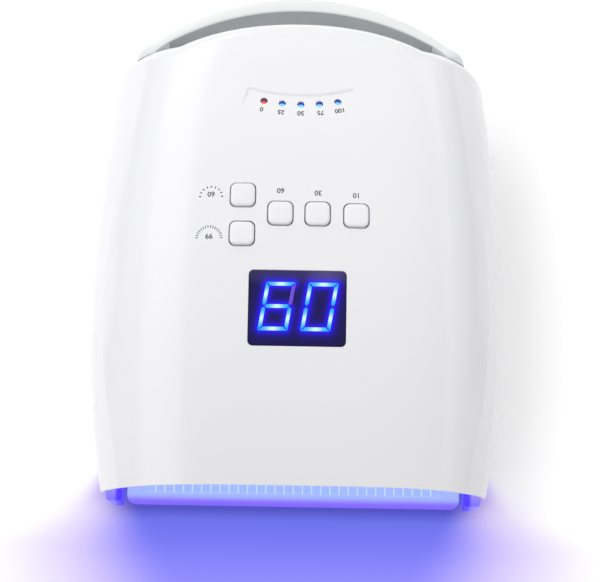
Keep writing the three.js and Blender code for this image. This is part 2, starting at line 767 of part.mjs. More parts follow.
function carryHandle() {
  const cover = coverSection(GAP);
  let handle = handleBar(spread(17, 1), gripSection);
  handle = join(handle, handleStub(-1), handleStub(1));
  handle = handle.subtract(hood(-GAP)).subtract(handleBar(spread(13, COVER_PART + 0.005), () => cover));
  for (const side of [-1, 1]) {
    handle = handle.add(tenon(side, 0));
    const x = side * HANDLE_SCREW_X;
    handle = handle.subtract(rod(1.7, [x, 80, HANDLE_SCREW_Z], [x, 98, HANDLE_SCREW_Z], 8));
  }
  return handle;
}

const COVER_PART = 0.9;
const HANDLE_SCREW_X = 74.5;
const HANDLE_SCREW_Z = 59.5;

function coverSection(extra) {
  const depth = 2.2 + extra;
  const face = extra > 0 ? -1 : 0;
  const low = HANDLE_BOTTOM + 1.6 - extra;
  const high = HANDLE_TOP - 1.2 + extra;
  return [[face, high], [face, low], [depth, low], [depth, high]];
}

add("carry_handle", carryHandle(), satin);
add("handle_inner_cover", handleBar(spread(13, COVER_PART), () => coverSection(0)), grey);
for (const [side, name] of [[-1, "left"], [1, "right"]]) {
  const place = [side * HANDLE_SCREW_X, 86.7, HANDLE_SCREW_Z];
  const mesh = add(`handle_screw_${name}`, screw(3, 2, 1.4, 10.5), steel, place);
  mesh.rotation.x = -Math.PI / 2;
}

// ---------------------------------------------------------------- keypad, display and gauge

const SWITCH_TOP = PCB_TOP + 4.8;

function controlBoard() {
  let plate = prism(roundedOutline(96, 145, 3, 1, 0, -4.5), PCB_BOTTOM, PCB_TOP);
  plate = plate.add(box([-40, 30, PCB_TOP - 0.5], [-22, 42, PCB_TOP + 2.4]));
  plate = plate.add(box([22, 28, PCB_TOP - 0.5], [32, 38, PCB_TOP + 4]));
  for (const [x, y] of PCB_POSTS) plate = plate.subtract(rod(1.6, [x, y, 70], [x, y, 90], 8));
  return plate;
}

add("control_board", controlBoard(), board);
PCB_POSTS.forEach(([x, y], i) =>
  add(`board_screw_${i + 1}`, screw(2.4, 1.6, 1.1, 5), steel, [x, y, PCB_BOTTOM - GAP]));

// The smoked window lies flush in the hood and follows its curve.
function displayWindow() {
  return prism(displayOutline(0), 84, 110).intersect(hood(0.2)).subtract(hood(WALL));
}

function displayModule() {
  const outline = roundedOutline(41, 30, 1, 1, DISPLAY.x, DISPLAY.y);
  return prism(outline, PCB_TOP + GAP, 110).intersect(hood(WALL + 0.6));
}

add("display_window", displayWindow(), smoked);
add("display_module", displayModule(), darkPlastic);

// A key: a rounded cap with a retaining flange and a stem, its rest height at z = 0 on the hood.
function timerKey(stemLength) {
  const square = (size, radius) => roundedOutline(size, size, radius, 2);
  const size = BUTTON.size;
  return stack([
    { outline: square(4.8, 2.4), z: -stemLength },
    { outline: square(4.8, 2.4), z: -4.3 },
    { outline: square(14.4, 3.4), z: -4.3 },
    { outline: square(14.4, 3.4), z: -3.4 },
    { outline: square(size, BUTTON.radius), z: -3.4 },
    { outline: square(size, BUTTON.radius), z: BUTTON.proud - 0.7 },
    { outline: square(size - 1.6, BUTTON.radius - 0.6), z: BUTTON.proud },
  ]);
}

const BUTTON_NAMES = ["preset_60_side", "preset_99", "preset_60", "preset_30", "preset_10"];

BUTTON_PLACES.forEach(([x, y], i) => {
  const rest = surface(x, y);
  const stem = rest - SWITCH_TOP - BUTTON.travel - 0.2;
  add(`button_${BUTTON_NAMES[i]}`, timerKey(stem), gloss, [x, y, rest]);
  const low = PCB_TOP + GAP;
  const plunger = rod(1.7, [0, 0, low + 3], [0, 0, SWITCH_TOP], 8);
  const housing = join(box([-3, -3, low], [3, 3, low + 3.5]), plunger);
  add(`key_switch_${i + 1}`, housing, darkPlastic, [x, y, 0]);
});

function indicatorLamp(length) {
  return turned([[0, 0], [1.5, 0], [1.5, length - 1], [1, length - 0.25], [0, length]], 10);
}

for (let i = 0; i < 5; i++) {
  const [x, y] = gaugePlace(i);
  const low = PCB_TOP + GAP;
  const length = surface(x, y) - 1 - low;
  add(`gauge_lamp_${i + 1}`, indicatorLamp(length), i === 0 ? redLens : blueLens, [x, y, low]);
}

// ---------------------------------------------------------------- battery and power inlet

function batteryCell() {
  const { radius, length } = CELL;
  const can = length - 1.2;
  return turned([[0, 0], [radius, 0], [radius, can], [3, can], [3, length], [0, length]], 14);
}

let cellNumber = 0;
for (const side of [-1, 1]) {
  for (const z of CELL.heights) {
    cellNumber += 1;
    const mesh = add(`battery_cell_${cellNumber}`, batteryCell(), cellWrap, [side * CELL.inner, CELL.y, z]);
    mesh.rotation.y = (side * Math.PI) / 2;
  }
}

function batteryHolder() {
  const [low, high] = [37, 74];
  const plates = [[-69, -66.9], [-0.9, 0.9], [66.9, 69]].map(([a, b]) => box([a, 73, low], [b, 91, high]));
  return join(...plates, box([-69, 73, 53.6], [69, 75.6, 57.4]), box([-69, 88.4, 53.6], [69, 91, 57.4]));
}

add("battery_holder", batteryHolder(), darkPlastic);

function chargeBoard() {
  return join(
    box([-60, 75, 8], [-30, 89, 9.6]),
    box([-56, 78, 9], [-46, 86, 13]),
    box([-40, 79, 9], [-34, 85, 11.5]));
}

add("charge_board", chargeBoard(), board);

function rearPanel() {
  const { half, low, high, inner, outer } = PANEL;
  const plate = box([-half, inner - 0.8, low], [half, outer, high]);
  const flange = box([-half - 2, inner - 1.9, low - 2], [half + 2, inner - 0, high + 2]);
  const { x, z } = ROCKER;
  return cut(join(plate, flange),
    box([x - 9.8, 80, z - 6.8], [x + 9.8, 100, z + 6.8]),
    rod(JACK.nose + GAP, [JACK.x, 80, JACK.z], [JACK.x, 100, JACK.z], 16));
}

add("rear_panel", rearPanel(), satin);

// A barrel socket: a block behind the panel, a round nose through it, and a pin in the bore.
function powerInlet() {
  const { x, z } = JACK;
  const back = PANEL.inner - 1.9 - GAP;
  const block = box([x - 4.5, back - 13, z - 5.5], [x + 4.5, back, z + 5.5]);
  const nose = rod(JACK.nose, [x, back - 2, z], [x, PANEL.outer, z], 16);
  const bore = rod(JACK.bore, [x, back - 9, z], [x, 100, z], 16);
  const pin = rod(JACK.pin, [x, back - 10, z], [x, PANEL.outer - 1.5, z], 8);
  return join(block, nose).subtract(bore).add(pin);
}

add("dc_jack", powerInlet(), darkPlastic);

function switchFrame() {
  const { x, z } = ROCKER;
  const bezel = PANEL.outer + GAP;
  const rim = box([x - 11, bezel, z - 8], [x + 11, bezel + 1.8, z + 8]);
  const body = box([x - 9.5, 82, z - 6.5], [x + 9.5, bezel + 0.1, z + 6.5]);
  return cut(
    join(rim, body),
    box([x - 8.3, 86.5, z - 5.4], [x + 8.3, 100, z + 5.4]),
    rod(1.2, [x, ROCKER.pivotY, z - 6], [x, ROCKER.pivotY, z + 6], 10));
}

// The rocker's plan about its pivot, with its two faces in a shallow vee; it rests tilted to its off side.
function powerRocker() {
  const vee = [[7, 4.5], [0, 3], [-7, 4.5], [-7, 0.8], [-3, -2.6], [3, -2.6], [7, 0.8]];
  return join(prism(vee, -5, 5), rod(0.9, [0, 0, -5.8], [0, 0, 5.8], 10));
}

add("power_switch_frame", switchFrame(), darkPlastic);
const rocker = add("power_rocker", powerRocker(), darkPlastic, [ROCKER.x, ROCKER.pivotY, ROCKER.z]);
rocker.rotation.z = THREE.MathUtils.degToRad(-ROCKER.tilt);

// The lead from the battery holder up to the underside of the control board.
function batteryLead() {
  const route = new THREE.CatmullRomCurve3([
    new THREE.Vector3(-58, 80, 76.2),
    new THREE.Vector3(-57, 73, 77.4),
    new THREE.Vector3(-50, 66, 76.6),
    new THREE.Vector3(-40, 58, 76),
    new THREE.Vector3(-34, 52, 76.4),
    new THREE.Vector3(-33, 49.6, 78),
    new THREE.Vector3(-33, 49.6, PCB_BOTTOM - 0.5),
  ]);
  const circle = new THREE.Shape(new THREE.Path().absarc(0, 0, 1.1, 0, 2 * Math.PI).getPoints(4));
  const geometry = new THREE.ExtrudeGeometry(circle, { steps: 14, extrudePath: route, bevelEnabled: false });
  return solid(geometry);
}

add("battery_lead", batteryLead(), leadCover);

export default lamp;
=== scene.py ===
"""The looks of a cordless UV/LED nail lamp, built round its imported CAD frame.

Forms are worked out in millimetres and turned into metres when a mesh is made. X runs to the right, Y from
the hand opening to the carry handle, Z up; the origin is the centre of the footprint, on the table.
"""

import json
import math

import bmesh
import bpy
import numpy as np
from mathutils import Matrix, Vector
from mathutils.geometry import delaunay_2d_cdt


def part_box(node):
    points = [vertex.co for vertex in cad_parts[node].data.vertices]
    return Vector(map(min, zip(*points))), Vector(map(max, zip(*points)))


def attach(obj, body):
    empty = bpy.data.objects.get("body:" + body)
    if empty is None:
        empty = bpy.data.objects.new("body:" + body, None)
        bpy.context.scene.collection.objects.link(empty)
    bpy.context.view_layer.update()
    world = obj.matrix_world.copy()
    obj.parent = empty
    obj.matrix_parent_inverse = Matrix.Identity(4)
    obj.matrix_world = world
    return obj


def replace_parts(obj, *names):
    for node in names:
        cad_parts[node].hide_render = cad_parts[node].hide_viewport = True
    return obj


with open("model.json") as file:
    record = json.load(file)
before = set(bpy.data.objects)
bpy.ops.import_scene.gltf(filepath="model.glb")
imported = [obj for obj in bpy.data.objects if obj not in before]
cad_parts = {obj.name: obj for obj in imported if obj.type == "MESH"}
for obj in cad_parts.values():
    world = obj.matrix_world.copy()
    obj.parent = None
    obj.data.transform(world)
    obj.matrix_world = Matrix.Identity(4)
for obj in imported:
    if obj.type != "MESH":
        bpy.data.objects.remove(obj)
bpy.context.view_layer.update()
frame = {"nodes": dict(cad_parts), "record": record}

MM = 0.001
BODY_OF = {node: body for body, nodes in frame["record"]["behaviour"]["bodies"].items() for node in nodes}
SLOT_OF = {part["node"]: part["material_slot"] for part in frame["record"]["subparts"]}


def span(node):
    """Lowest and highest corner of a CAD node, in millimetres."""
    low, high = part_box(node)
    return np.array(low) / MM, np.array(high) / MM


def middle(node):
    low, high = span(node)
    return (low + high) / 2


# ---------------------------------------------------------------- driving dimensions

SHELL_LOW, SHELL_HIGH = span("top_shell")
HALF_WIDTH = SHELL_HIGH[0]
HEIGHT = SHELL_HIGH[2]
FRONT_Y = SHELL_LOW[1]
BOTTOM = SHELL_LOW[2]
WAIST_Y = -33
CROWN_Y = 20
BELT_Z = 28
REAR_Y = 95
REAR_RADIUS = 11
REAR_START = REAR_Y - REAR_RADIUS
WALL = 2.2
GAP = 0.3

TUNNEL_HALF = 87
TUNNEL_TOP = 62
TUNNEL_REAR = 72
TUNNEL_RADIUS = 8
TUNNEL_WALL = 1.8
TUNNEL_START = -94

RIM_LEAN = 8
RIM_RADIUS = 0.6  # the rolled edge round the hand opening
EDGE_RADIUS = 0.35  # the softened edge of a hole in the hood
HEM_RADIUS = 0.5  # the hood's bottom edge

# ---------------------------------------------------------------- small helpers


def smoothstep(low, high, value):
    share = np.clip((value - low) / (high - low), 0, 1)
    return share * share * (3 - 2 * share)


def unit(vectors):
    return vectors / np.maximum(np.linalg.norm(vectors, axis=-1, keepdims=True), 1e-12)


def make_object(name, vertices, faces, material, corner_normals=None):
    """A smooth-shaded mesh object, from millimetres."""
    mesh = bpy.data.meshes.new(name)
    mesh.from_pydata((np.asarray(vertices, float) * MM).tolist(), [], faces)
    mesh.materials.append(material)
    mesh.shade_smooth()
    if corner_normals is not None:
        mesh.normals_split_custom_set(corner_normals)
    piece = bpy.data.objects.new(name, mesh)
    bpy.context.scene.collection.objects.link(piece)
    return piece


def bake_modifiers(piece):
    """Applies an object's modifiers to its mesh."""
    bpy.context.view_layer.update()
    graph = bpy.context.evaluated_depsgraph_get()
    piece.data = bpy.data.meshes.new_from_object(piece.evaluated_get(graph))
    piece.modifiers.clear()
    return piece


def face_outwards(piece):
    form = bmesh.new()
    form.from_mesh(piece.data)
    bmesh.ops.recalc_face_normals(form, faces=form.faces)
    form.to_mesh(piece.data)
    form.free()


def combine(piece, operation, *others):
    """Joins solids to a piece ("UNION") or cuts them out of it ("DIFFERENCE")."""
    for other in others:
        face_outwards(other)
        modifier = piece.modifiers.new("combine", "BOOLEAN")
        modifier.operation = operation
        modifier.object = other
        modifier.solver = "EXACT"
        bake_modifiers(piece)
        bpy.data.objects.remove(other)
    return piece


def crisp(piece, degrees=35):
    """Smooth shading that leaves flat faces flat, with edges above an angle kept sharp."""
    piece.data.shade_smooth()
    piece.data.set_sharp_from_angle(angle=math.radians(degrees))
    modifier = piece.modifiers.new("flat", "WEIGHTED_NORMAL")
    modifier.weight = 50
    modifier.keep_sharp = True
    return bake_modifiers(piece)


def soften(piece, width, degrees=35, segments=3):
    """Rounds the edges above an angle; width is in millimetres."""
    modifier = piece.modifiers.new("soften", "BEVEL")
    modifier.limit_method = "ANGLE"
    modifier.angle_limit = math.radians(degrees)
    modifier.width = width * MM
    modifier.segments = segments
    modifier.harden_normals = True
    piece.data.shade_smooth()
    return bake_modifiers(piece)


def stands_for(piece, *nodes):
    """Puts a finished piece in the place of its CAD nodes."""
    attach(piece, BODY_OF[nodes[0]])
    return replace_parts(piece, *nodes)


def rides_on(piece, body):
    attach(piece, body)
    return piece


def rounded_rectangle(width, depth, radius, centre=(0, 0), steps=6):
    """A plan outline with rounded corners, anticlockwise."""
    points = []
    for corner, (sx, sy) in enumerate([(1, 1), (-1, 1), (-1, -1), (1, -1)]):
        for i in range(steps + 1):
            angle = math.pi / 2 * (corner + i / steps)
            points.append((
                centre[0] + sx * (width / 2 - radius) + radius * math.cos(angle),
                centre[1] + sy * (depth / 2 - radius) + radius * math.sin(angle)))
    return np.array(points)


def circle(radius, centre=(0, 0), steps=32):
    angle = np.arange(steps) * 2 * math.pi / steps
    return np.stack([centre[0] + radius * np.cos(angle), centre[1] + radius * np.sin(angle)], 1)


def skin(rings, closed=True):
    """Vertices and faces of a surface through rings of points, capped at both ends."""
    rings = [np.asarray(ring, float) for ring in rings]
    count = len(rings[0])
    faces = []
    for k in range(len(rings) - 1):
        for i in range(count):
            j = (i + 1) % count
            faces.append((k * count + i, k * count + j, (k + 1) * count + j, (k + 1) * count + i))
    if closed:
        faces.append(tuple(range(count))[::-1])
        faces.append(tuple(range((len(rings) - 1) * count, len(rings) * count)))
    return np.concatenate(rings), faces


def stack(name, levels, material):
    """A solid from (plan outline, height) levels, low to high."""
    rings = [np.column_stack([outline, np.full(len(outline), z)]) for outline, z in levels]
    return make_object(name, *skin(rings), material)


def rounded_levels(outline, low, high, low_radius, high_radius, steps=4):
    """Levels of a solid whose lower and upper edges are rounded. outline(inset) gives its plan."""
    levels = []
    for i in range(steps + 1):
        angle = math.pi / 2 * i / steps
        levels.append((outline(low_radius * (1 - math.sin(angle))), low + low_radius * (1 - math.cos(angle))))
    for i in range(steps + 1):
        angle = math.pi / 2 * i / steps
        inset = high_radius * (1 - math.cos(angle))
        levels.append((outline(inset), high - high_radius * (1 - math.sin(angle))))
    return levels


def block(name, low, high, material):
    low, high = np.array(low, float), np.array(high, float)
    size, centre = high - low, (low + high) / 2
    outline = np.array([(1, 1), (-1, 1), (-1, -1), (1, -1)]) * size[:2] / 2 + centre[:2]
    return stack(name, [(outline, low[2]), (outline, high[2])], material)


def turned(name, profile, material, steps=40):
    """A solid of revolution about Z from (radius, height) points, bottom to top, that end on the axis."""
    angle = np.arange(steps) * 2 * math.pi / steps
    rings = []
    for radius, z in profile:
        radius = max(radius, 1e-3)
        rings.append(np.stack([radius * np.cos(angle), radius * np.sin(angle), np.full(steps, z)], 1))
    return make_object(name, *skin(rings), material)


def move(piece, matrix):
    """Moves a piece's vertices by a matrix whose translation is in millimetres."""
    scaled = matrix.copy()
    scaled.translation = matrix.translation * MM
    piece.data.transform(scaled)
    return piece


def paint(piece, name, colours):
    """A colour for each vertex, which the piece's material reads."""
    layer = piece.data.color_attributes.new(name, "FLOAT_COLOR", "POINT")
    rgba = np.column_stack([colours, np.ones(len(colours))]).astype(np.float32)
    layer.data.foreach_set("color", rgba.ravel())
    return piece


# ---------------------------------------------------------------- sheets with thickness


def triangulate(points, loops, holes):
    """Delaunay triangles over points and closed loops, less those inside the holes."""
    everything = [np.asarray(points, float)]
    edges = []
    start = len(points)
    for loop, closed in loops:
        count = len(loop)
        everything.append(np.asarray(loop, float))
        edges += [(start + i, start + (i + 1) % count) for i in range(count if closed else count - 1)]
        start += count
    flat = np.concatenate(everything)
    result = delaunay_2d_cdt([Vector(p) for p in flat], edges, [], 0, 1e-7)
    places = np.array([tuple(p) for p in result[0]])
    faces = np.array([tuple(f) for f in result[2]])
    centres = places[faces].mean(axis=1)
    keep = np.ones(len(faces), bool)
    for hole in holes:
        keep &= ~inside(centres, hole)
    return places, faces[keep]


def inside(points, outline):
    """Whether each point is in a closed outline."""
    outline = np.asarray(outline)
    result = np.zeros(len(points), bool)
    low, high = outline.min(0), outline.max(0)
    near = np.where(((points >= low) & (points <= high)).all(1))[0]
    x, y = points[near, 0], points[near, 1]
    odd = np.zeros(len(near), bool)
    for (x0, y0), (x1, y1) in zip(outline, np.roll(outline, -1, axis=0)):
        crosses = (y0 > y) != (y1 > y)
        with np.errstate(divide="ignore", invalid="ignore"):
            odd ^= crosses & (x < (x1 - x0) * (y - y0) / (y1 - y0) + x0)
    result[near] = odd
    return result


def away_from(points, loop, distance):
    """Whether each point lies farther than a distance from every point of a loop."""
    gaps = np.linalg.norm(points[:, None, :] - np.asarray(loop)[None, :, :], axis=2)
    return gaps.min(axis=1) > distance


def weld(vertices, faces):
    """Merges vertices at the same place and drops triangles that shrink to nothing."""
    _, first, inverse = np.unique(np.round(vertices, 3), axis=0, return_index=True, return_inverse=True)
    faces = inverse.reshape(-1)[faces]
    solid = (faces[:, 0] != faces[:, 1]) & (faces[:, 1] != faces[:, 2]) & (faces[:, 0] != faces[:, 2])
    return vertices[first], faces[solid]


def vertex_normals(vertices, faces):
    corners = vertices[faces]
    across = np.cross(corners[:, 1] - corners[:, 0], corners[:, 2] - corners[:, 0])
    total = np.zeros_like(vertices)
    for k in range(3):
        np.add.at(total, faces[:, k], across)
    return unit(total)


def edge_loops(faces):
    """The sheet's open edges, as ordered loops of vertices with the sheet on their left."""
    edges = set()
    for a, b, c in faces.tolist():
        edges.update([(a, b), (b, c), (c, a)])
    follows = {a: b for a, b in edges if (b, a) not in edges}
    loops = []
    while follows:
        start, here = follows.popitem()
        loop = [start]
        while here != start:
            loop.append(here)
            here = follows.pop(here)
        loops.append(np.array(loop))
    return loops


def thicken(name, vertices, faces, wall, radius_at, material):
    """A closed solid from a sheet: its open edges are rolled over, and an inner skin lies a wall inside.

    radius_at(points) gives the roll's radius at the points of an edge loop.
    """
    normals = vertex_normals(vertices, faces)
    count = len(vertices)
    points = [vertices, vertices - wall * normals]
    polygons = [tuple(f) for f in faces.tolist()]
    polygons += [(a + count, c + count, b + count) for a, b, c in faces.tolist()]
    corners = [normals[faces].reshape(-1, 3), -normals[faces[:, [0, 2, 1]]].reshape(-1, 3)]
    total = 2 * count
    for loop in edge_loops(faces):
        place, up = vertices[loop], normals[loop]
        along = unit(np.roll(place, -1, axis=0) - np.roll(place, 1, axis=0))
        out = unit(np.cross(along, up))
        radius = radius_at(place)[:, None]
        rings = [(loop, up)]
        for degrees in (22.5, 45, 67.5, 90):
            sine, cosine = math.sin(math.radians(degrees)), math.cos(math.radians(degrees))
            points.append(place + radius * (sine * out - (1 - cosine) * up))
            rings.append((np.arange(total, total + len(loop)), unit(cosine * up + sine * out)))
            total += len(loop)
        points.append(place + radius * out - wall * up)
        rings.append((np.arange(total, total + len(loop)), out))
        total += len(loop)
        rings.append((loop + count, -up))
        for k in range(len(rings) - 1):
            (near, near_normals), (far, far_normals) = rings[k], rings[k + 1]
            if k == len(rings) - 2:
                near_normals = far_normals
            ahead = np.roll(np.arange(len(loop)), -1)
            quads = np.stack([near[ahead], near, far, far[ahead]], 1)
            polygons += [tuple(q) for q in quads.tolist()]
            corners.append(np.stack(
                [near_normals[ahead], near_normals, far_normals, far_normals[ahead]], 1).reshape(-1, 3))
    return make_object(name, np.concatenate(points), polygons, material, np.concatenate(corners).tolist())


# ---------------------------------------------------------------- materials


class Nodes:
    """A short way to build a material's node tree."""

    def __init__(self, tree):
        self.tree = tree

    def add(self, kind, **settings):
        node = self.tree.nodes.new(kind)
        for key, value in settings.items():
            setattr(node, key, value)
        return node

    def link(self, source, target):
        self.tree.links.new(source, target)

    def math(self, operation, a, b=None, clamp=False):
        node = self.add("ShaderNodeMath", operation=operation, use_clamp=clamp)
        for socket, value in zip(node.inputs, (a, b)):
            if value is None:
                continue
            if isinstance(value, (int, float)):
                socket.default_value = value
            else:
                self.link(value, socket)
        return node.outputs[0]

    def mix(self, share, a, b):
        node = self.add("ShaderNodeMix", data_type="RGBA")
        for socket, value in ((node.inputs["Factor"], share), (node.inputs["A"], a), (node.inputs["B"], b)):
            if isinstance(value, (int, float)):
                socket.default_value = value
            elif isinstance(value, tuple):
                socket.default_value = (*value, 1)
            else:
                self.link(value, socket)
        return node.outputs["Result"]

    def noise(self, size, detail=2.0, stretch=(1, 1, 1)):
        """Noise with features of about size millimetres."""
        place = self.add("ShaderNodeTexCoord").outputs["Object"]
        mapping = self.add("ShaderNodeMapping")
        mapping.inputs["Scale"].default_value = tuple(s / (size * MM) for s in stretch)
        self.link(place, mapping.inputs["Vector"])
        noise = self.add("ShaderNodeTexNoise")
        noise.inputs["Scale"].default_value = 1
        noise.inputs["Detail"].default_value = detail
        self.link(mapping.outputs[0], noise.inputs["Vector"])
        return noise.outputs["Fac"]

    def span(self, value, low, high, from_low=0.0, from_high=1.0):
        node = self.add("ShaderNodeMapRange", interpolation_type="SMOOTHSTEP")
        self.link(value, node.inputs["Value"])
        for key, number in (("From Min", from_low), ("From Max", from_high), ("To Min", low), ("To Max", high)):
            node.inputs[key].default_value = number
        return node.outputs["Result"]


def surface_material(name, colour, roughness, metallic=0.0, mottle=(20, 0.02), grain=(0.3, 0.02), uneven=0.15,
                     stretch=(1, 1, 1)):
    """A moulded or machined finish.

    mottle is (size, strength) of its soft change of tone; grain is (size, height) of its fine relief, in
    millimetres; uneven is how much its roughness varies.
    """
    material = bpy.data.materials.new(name)
    material.use_nodes = True
    nodes = Nodes(material.node_tree)
    shader = material.node_tree.nodes["Principled BSDF"]
    size, strength = mottle
    darker = tuple(c * (1 - strength) for c in colour)
    lighter = tuple(min(1.0, c * (1 + strength)) for c in colour)
    nodes.link(nodes.mix(nodes.noise(size), darker, lighter), shader.inputs["Base Color"])
    rough = nodes.span(nodes.noise(size * 0.4, 3), roughness * (1 - uneven), roughness * (1 + uneven), 0.3, 0.7)
    nodes.link(rough, shader.inputs["Roughness"])
    bump = nodes.add("ShaderNodeBump")
    bump.inputs["Strength"].default_value = 1
    bump.inputs["Distance"].default_value = grain[1] * MM
    nodes.link(nodes.noise(grain[0], 3, stretch), bump.inputs["Height"])
    nodes.link(bump.outputs[0], shader.inputs["Normal"])
    shader.inputs["Metallic"].default_value = metallic
    return material


def add_painted_glow(material, strength, stops, reach, gap=None, crest=None):
    """Painted light on a piece near the hand opening: a violet emission over a base colour darkened towards violet
    stands in for the lamp's light falling on it.

    stops are (y in millimetres, colour), back and front; reach is (y where it starts, y where it is full); gap is
    (distance to the side, where that colour ends, colour) of the deeper painted light between the tray and the paws;
    crest is (height, height where it is full, colour) of the painted highlight that catches the tops of ribs.
    """
    nodes = Nodes(material.node_tree)
    shader = material.node_tree.nodes["Principled BSDF"]
    place = nodes.add("ShaderNodeSeparateXYZ")
    nodes.link(nodes.add("ShaderNodeTexCoord").outputs["Object"], place.inputs[0])
    # Painted light: towards the opening the base colour darkens to violet and the piece glows violet.
    share = nodes.span(place.outputs["Y"], 0, 1, reach[0] * MM, reach[1] * MM)
    base = shader.inputs["Base Color"].links[0].from_socket
    nodes.link(nodes.mix(share, base, (0.05, 0.04, 0.22)), shader.inputs["Base Color"])
    back, front = stops[0][0] * MM, stops[-1][0] * MM
    along = nodes.span(place.outputs["Y"], 0, 1, back, front)
    colour = nodes.mix(along, stops[0][1], stops[-1][1])
    # Painted deeper violet light in the gap beside the tray.
    if gap:
        beside = nodes.math("ABSOLUTE", place.outputs["X"])
        colour = nodes.mix(nodes.span(beside, 1, 0, gap[0] * MM, gap[1] * MM), colour, gap[2])
    # Painted highlight on the tops of the ribs.
    if crest:
        top = nodes.span(place.outputs["Z"], 0, 1, crest[0] * MM, crest[1] * MM)
        colour = nodes.mix(top, colour, crest[2])
    nodes.link(colour, shader.inputs["Emission Color"])
    nodes.link(nodes.math("MULTIPLY", share, strength), shader.inputs["Emission Strength"])
    return material


def painted_light(name, strength, base=(0.01, 0.01, 0.02), roughness=0.1, specular=0.5):
    """A dark lens or window that shines with the colour painted on its vertices."""
    material = surface_material(name, base, roughness, mottle=(6, 0.2), grain=(0.6, 0.001))
    nodes = Nodes(material.node_tree)
    shader = material.node_tree.nodes["Principled BSDF"]
    shader.inputs["Specular IOR Level"].default_value = specular
    colour = nodes.add("ShaderNodeVertexColor", layer_name="light").outputs["Color"]
    nodes.link(colour, shader.inputs["Emission Color"])
    shader.inputs["Emission Strength"].default_value = strength
    return material


def mirror_material():
    """The tray's metallised sheet, finely brushed along its ribs; near the front it carries painted violet light and a
    painted highlight on the rib tops.
    """
    material = surface_material("mirror_plate", (0.74, 0.76, 0.86), 0.22, metallic=0.85, mottle=(12, 0.04),
                                grain=(0.8, 0.002), uneven=0.3, stretch=(1, 0.05, 1))
    crest = span("tray_mirror")[1][2]
    return add_painted_glow(material, 0.85, [(-100, (0.30, 0.36, 1.0)), (-112, (0.40, 0.57, 1.0))], (-90, -104),
                    crest=(crest - 0.18, crest - 0.06, (0.62, 0.84, 1.0)))


def board_material():
    """Green solder mask over faint copper tracks."""
    material = surface_material("circuit_board", (0.02, 0.13, 0.06), 0.35, mottle=(5, 0.15), grain=(0.5, 0.01))
    nodes = Nodes(material.node_tree)
    shader = material.node_tree.nodes["Principled BSDF"]
    brick = nodes.add("ShaderNodeTexBrick")
    brick.inputs["Scale"].default_value = 180
    brick.inputs["Mortar Size"].default_value = 0.06
    brick.inputs["Color1"].default_value = (0.02, 0.12, 0.06, 1)
    brick.inputs["Color2"].default_value = (0.02, 0.15, 0.07, 1)
    brick.inputs["Mortar"].default_value = (0.05, 0.26, 0.12, 1)
    nodes.link(nodes.add("ShaderNodeTexCoord").outputs["Object"], brick.inputs["Vector"])
    nodes.link(brick.outputs["Color"], shader.inputs["Base Color"])
    return material


VIOLET = (0.25, 0.16, 1.0)
WHITE = (0.80, 0.80, 0.815)

MATERIALS = {
    "shell_white": surface_material("shell_white", WHITE, 0.09, mottle=(60, 0.008), grain=(9, 0.0015)),
    "keys": surface_material("keys", WHITE, 0.16, mottle=(15, 0.01), grain=(0.25, 0.002)),
    "handle_white": surface_material("handle_white", (0.76, 0.785, 0.775), 0.5, mottle=(30, 0.015), grain=(0.35, 0.02)),
    # handle_grey is partly painted shade: its dark grey also stands for the shade on the handle's inner face.
    "handle_grey": surface_material("handle_grey", (0.46, 0.48, 0.49), 0.5, mottle=(25, 0.03), grain=(0.3, 0.02)),
    "black_plastic": surface_material("black_plastic", (0.012, 0.012, 0.014), 0.42, mottle=(8, 0.1)),
    "reflector_white": surface_material("reflector_white", (0.72, 0.72, 0.8), 0.16, mottle=(40, 0.02),
                                        grain=(6, 0.01), metallic=0.2),
    "mirror_plate": mirror_material(),
    "circuit_board": board_material(),
    "steel": surface_material("steel", (0.55, 0.56, 0.58), 0.28, metallic=1, mottle=(3, 0.05), grain=(0.2, 0.01)),
    "rubber": surface_material("rubber", (0.025, 0.025, 0.027), 0.75, mottle=(6, 0.15), grain=(0.25, 0.04)),
    "cell_wrap": surface_material("cell_wrap", (0.06, 0.19, 0.5), 0.3, mottle=(10, 0.08), grain=(1.5, 0.02)),
    "lead_cover": surface_material("lead_cover", (0.35, 0.02, 0.02), 0.5, mottle=(4, 0.1)),
    # frame_white and tray_white carry painted violet light near the hand opening, deepest in the gap beside the tray.
    "frame_white": add_painted_glow(surface_material("frame_white", WHITE, 0.14, mottle=(40, 0.01), grain=(5, 0.002)),
                            0.8, [(-119, (0.34, 0.29, 1.0)), (-123.7, (0.22, 0.19, 0.9))], (-104, -116),
                            (87.2, 89.6, (0.06, 0.02, 1.0))),
    "tray_white": add_painted_glow(surface_material("tray_white", WHITE, 0.14, mottle=(40, 0.01), grain=(5, 0.002)),
                           0.85, [(-118.5, (0.40, 0.52, 1.0)), (-122.8, (0.23, 0.13, 1.0))], (-104, -114)),
    "ink_grey": surface_material("ink_grey", (0.06, 0.06, 0.065), 0.4, mottle=(2, 0.1), grain=(0.2, 0.002)),
    "ink_black": surface_material("ink_black", (0.012, 0.012, 0.014), 0.4, mottle=(2, 0.1), grain=(0.2, 0.002)),
    "window": painted_light("window", 1.0, base=(0.004, 0.003, 0.008), roughness=0.04, specular=0.16),
    "digits": painted_light("digits", 1.0, base=(0.01, 0.02, 0.08), roughness=0.3, specular=0.1),
    "lens": painted_light("lens", 1.0, base=(0.02, 0.02, 0.06), roughness=0.15),
    "uv_lens": painted_light("uv_lens", 14.0, base=(0.5, 0.45, 0.9), roughness=0.1),
}
FINISH_OF_SLOT = {"smoked_window": "window", "red_lens": "lens", "blue_lens": "lens"}

# ---------------------------------------------------------------- hood form


def half_width(y):
    front = y < WAIST_Y
    offset = (y - WAIST_Y) / np.where(front, 85, 88.5)
    return HALF_WIDTH - np.where(front, 7.9, 3.9) * offset ** 2


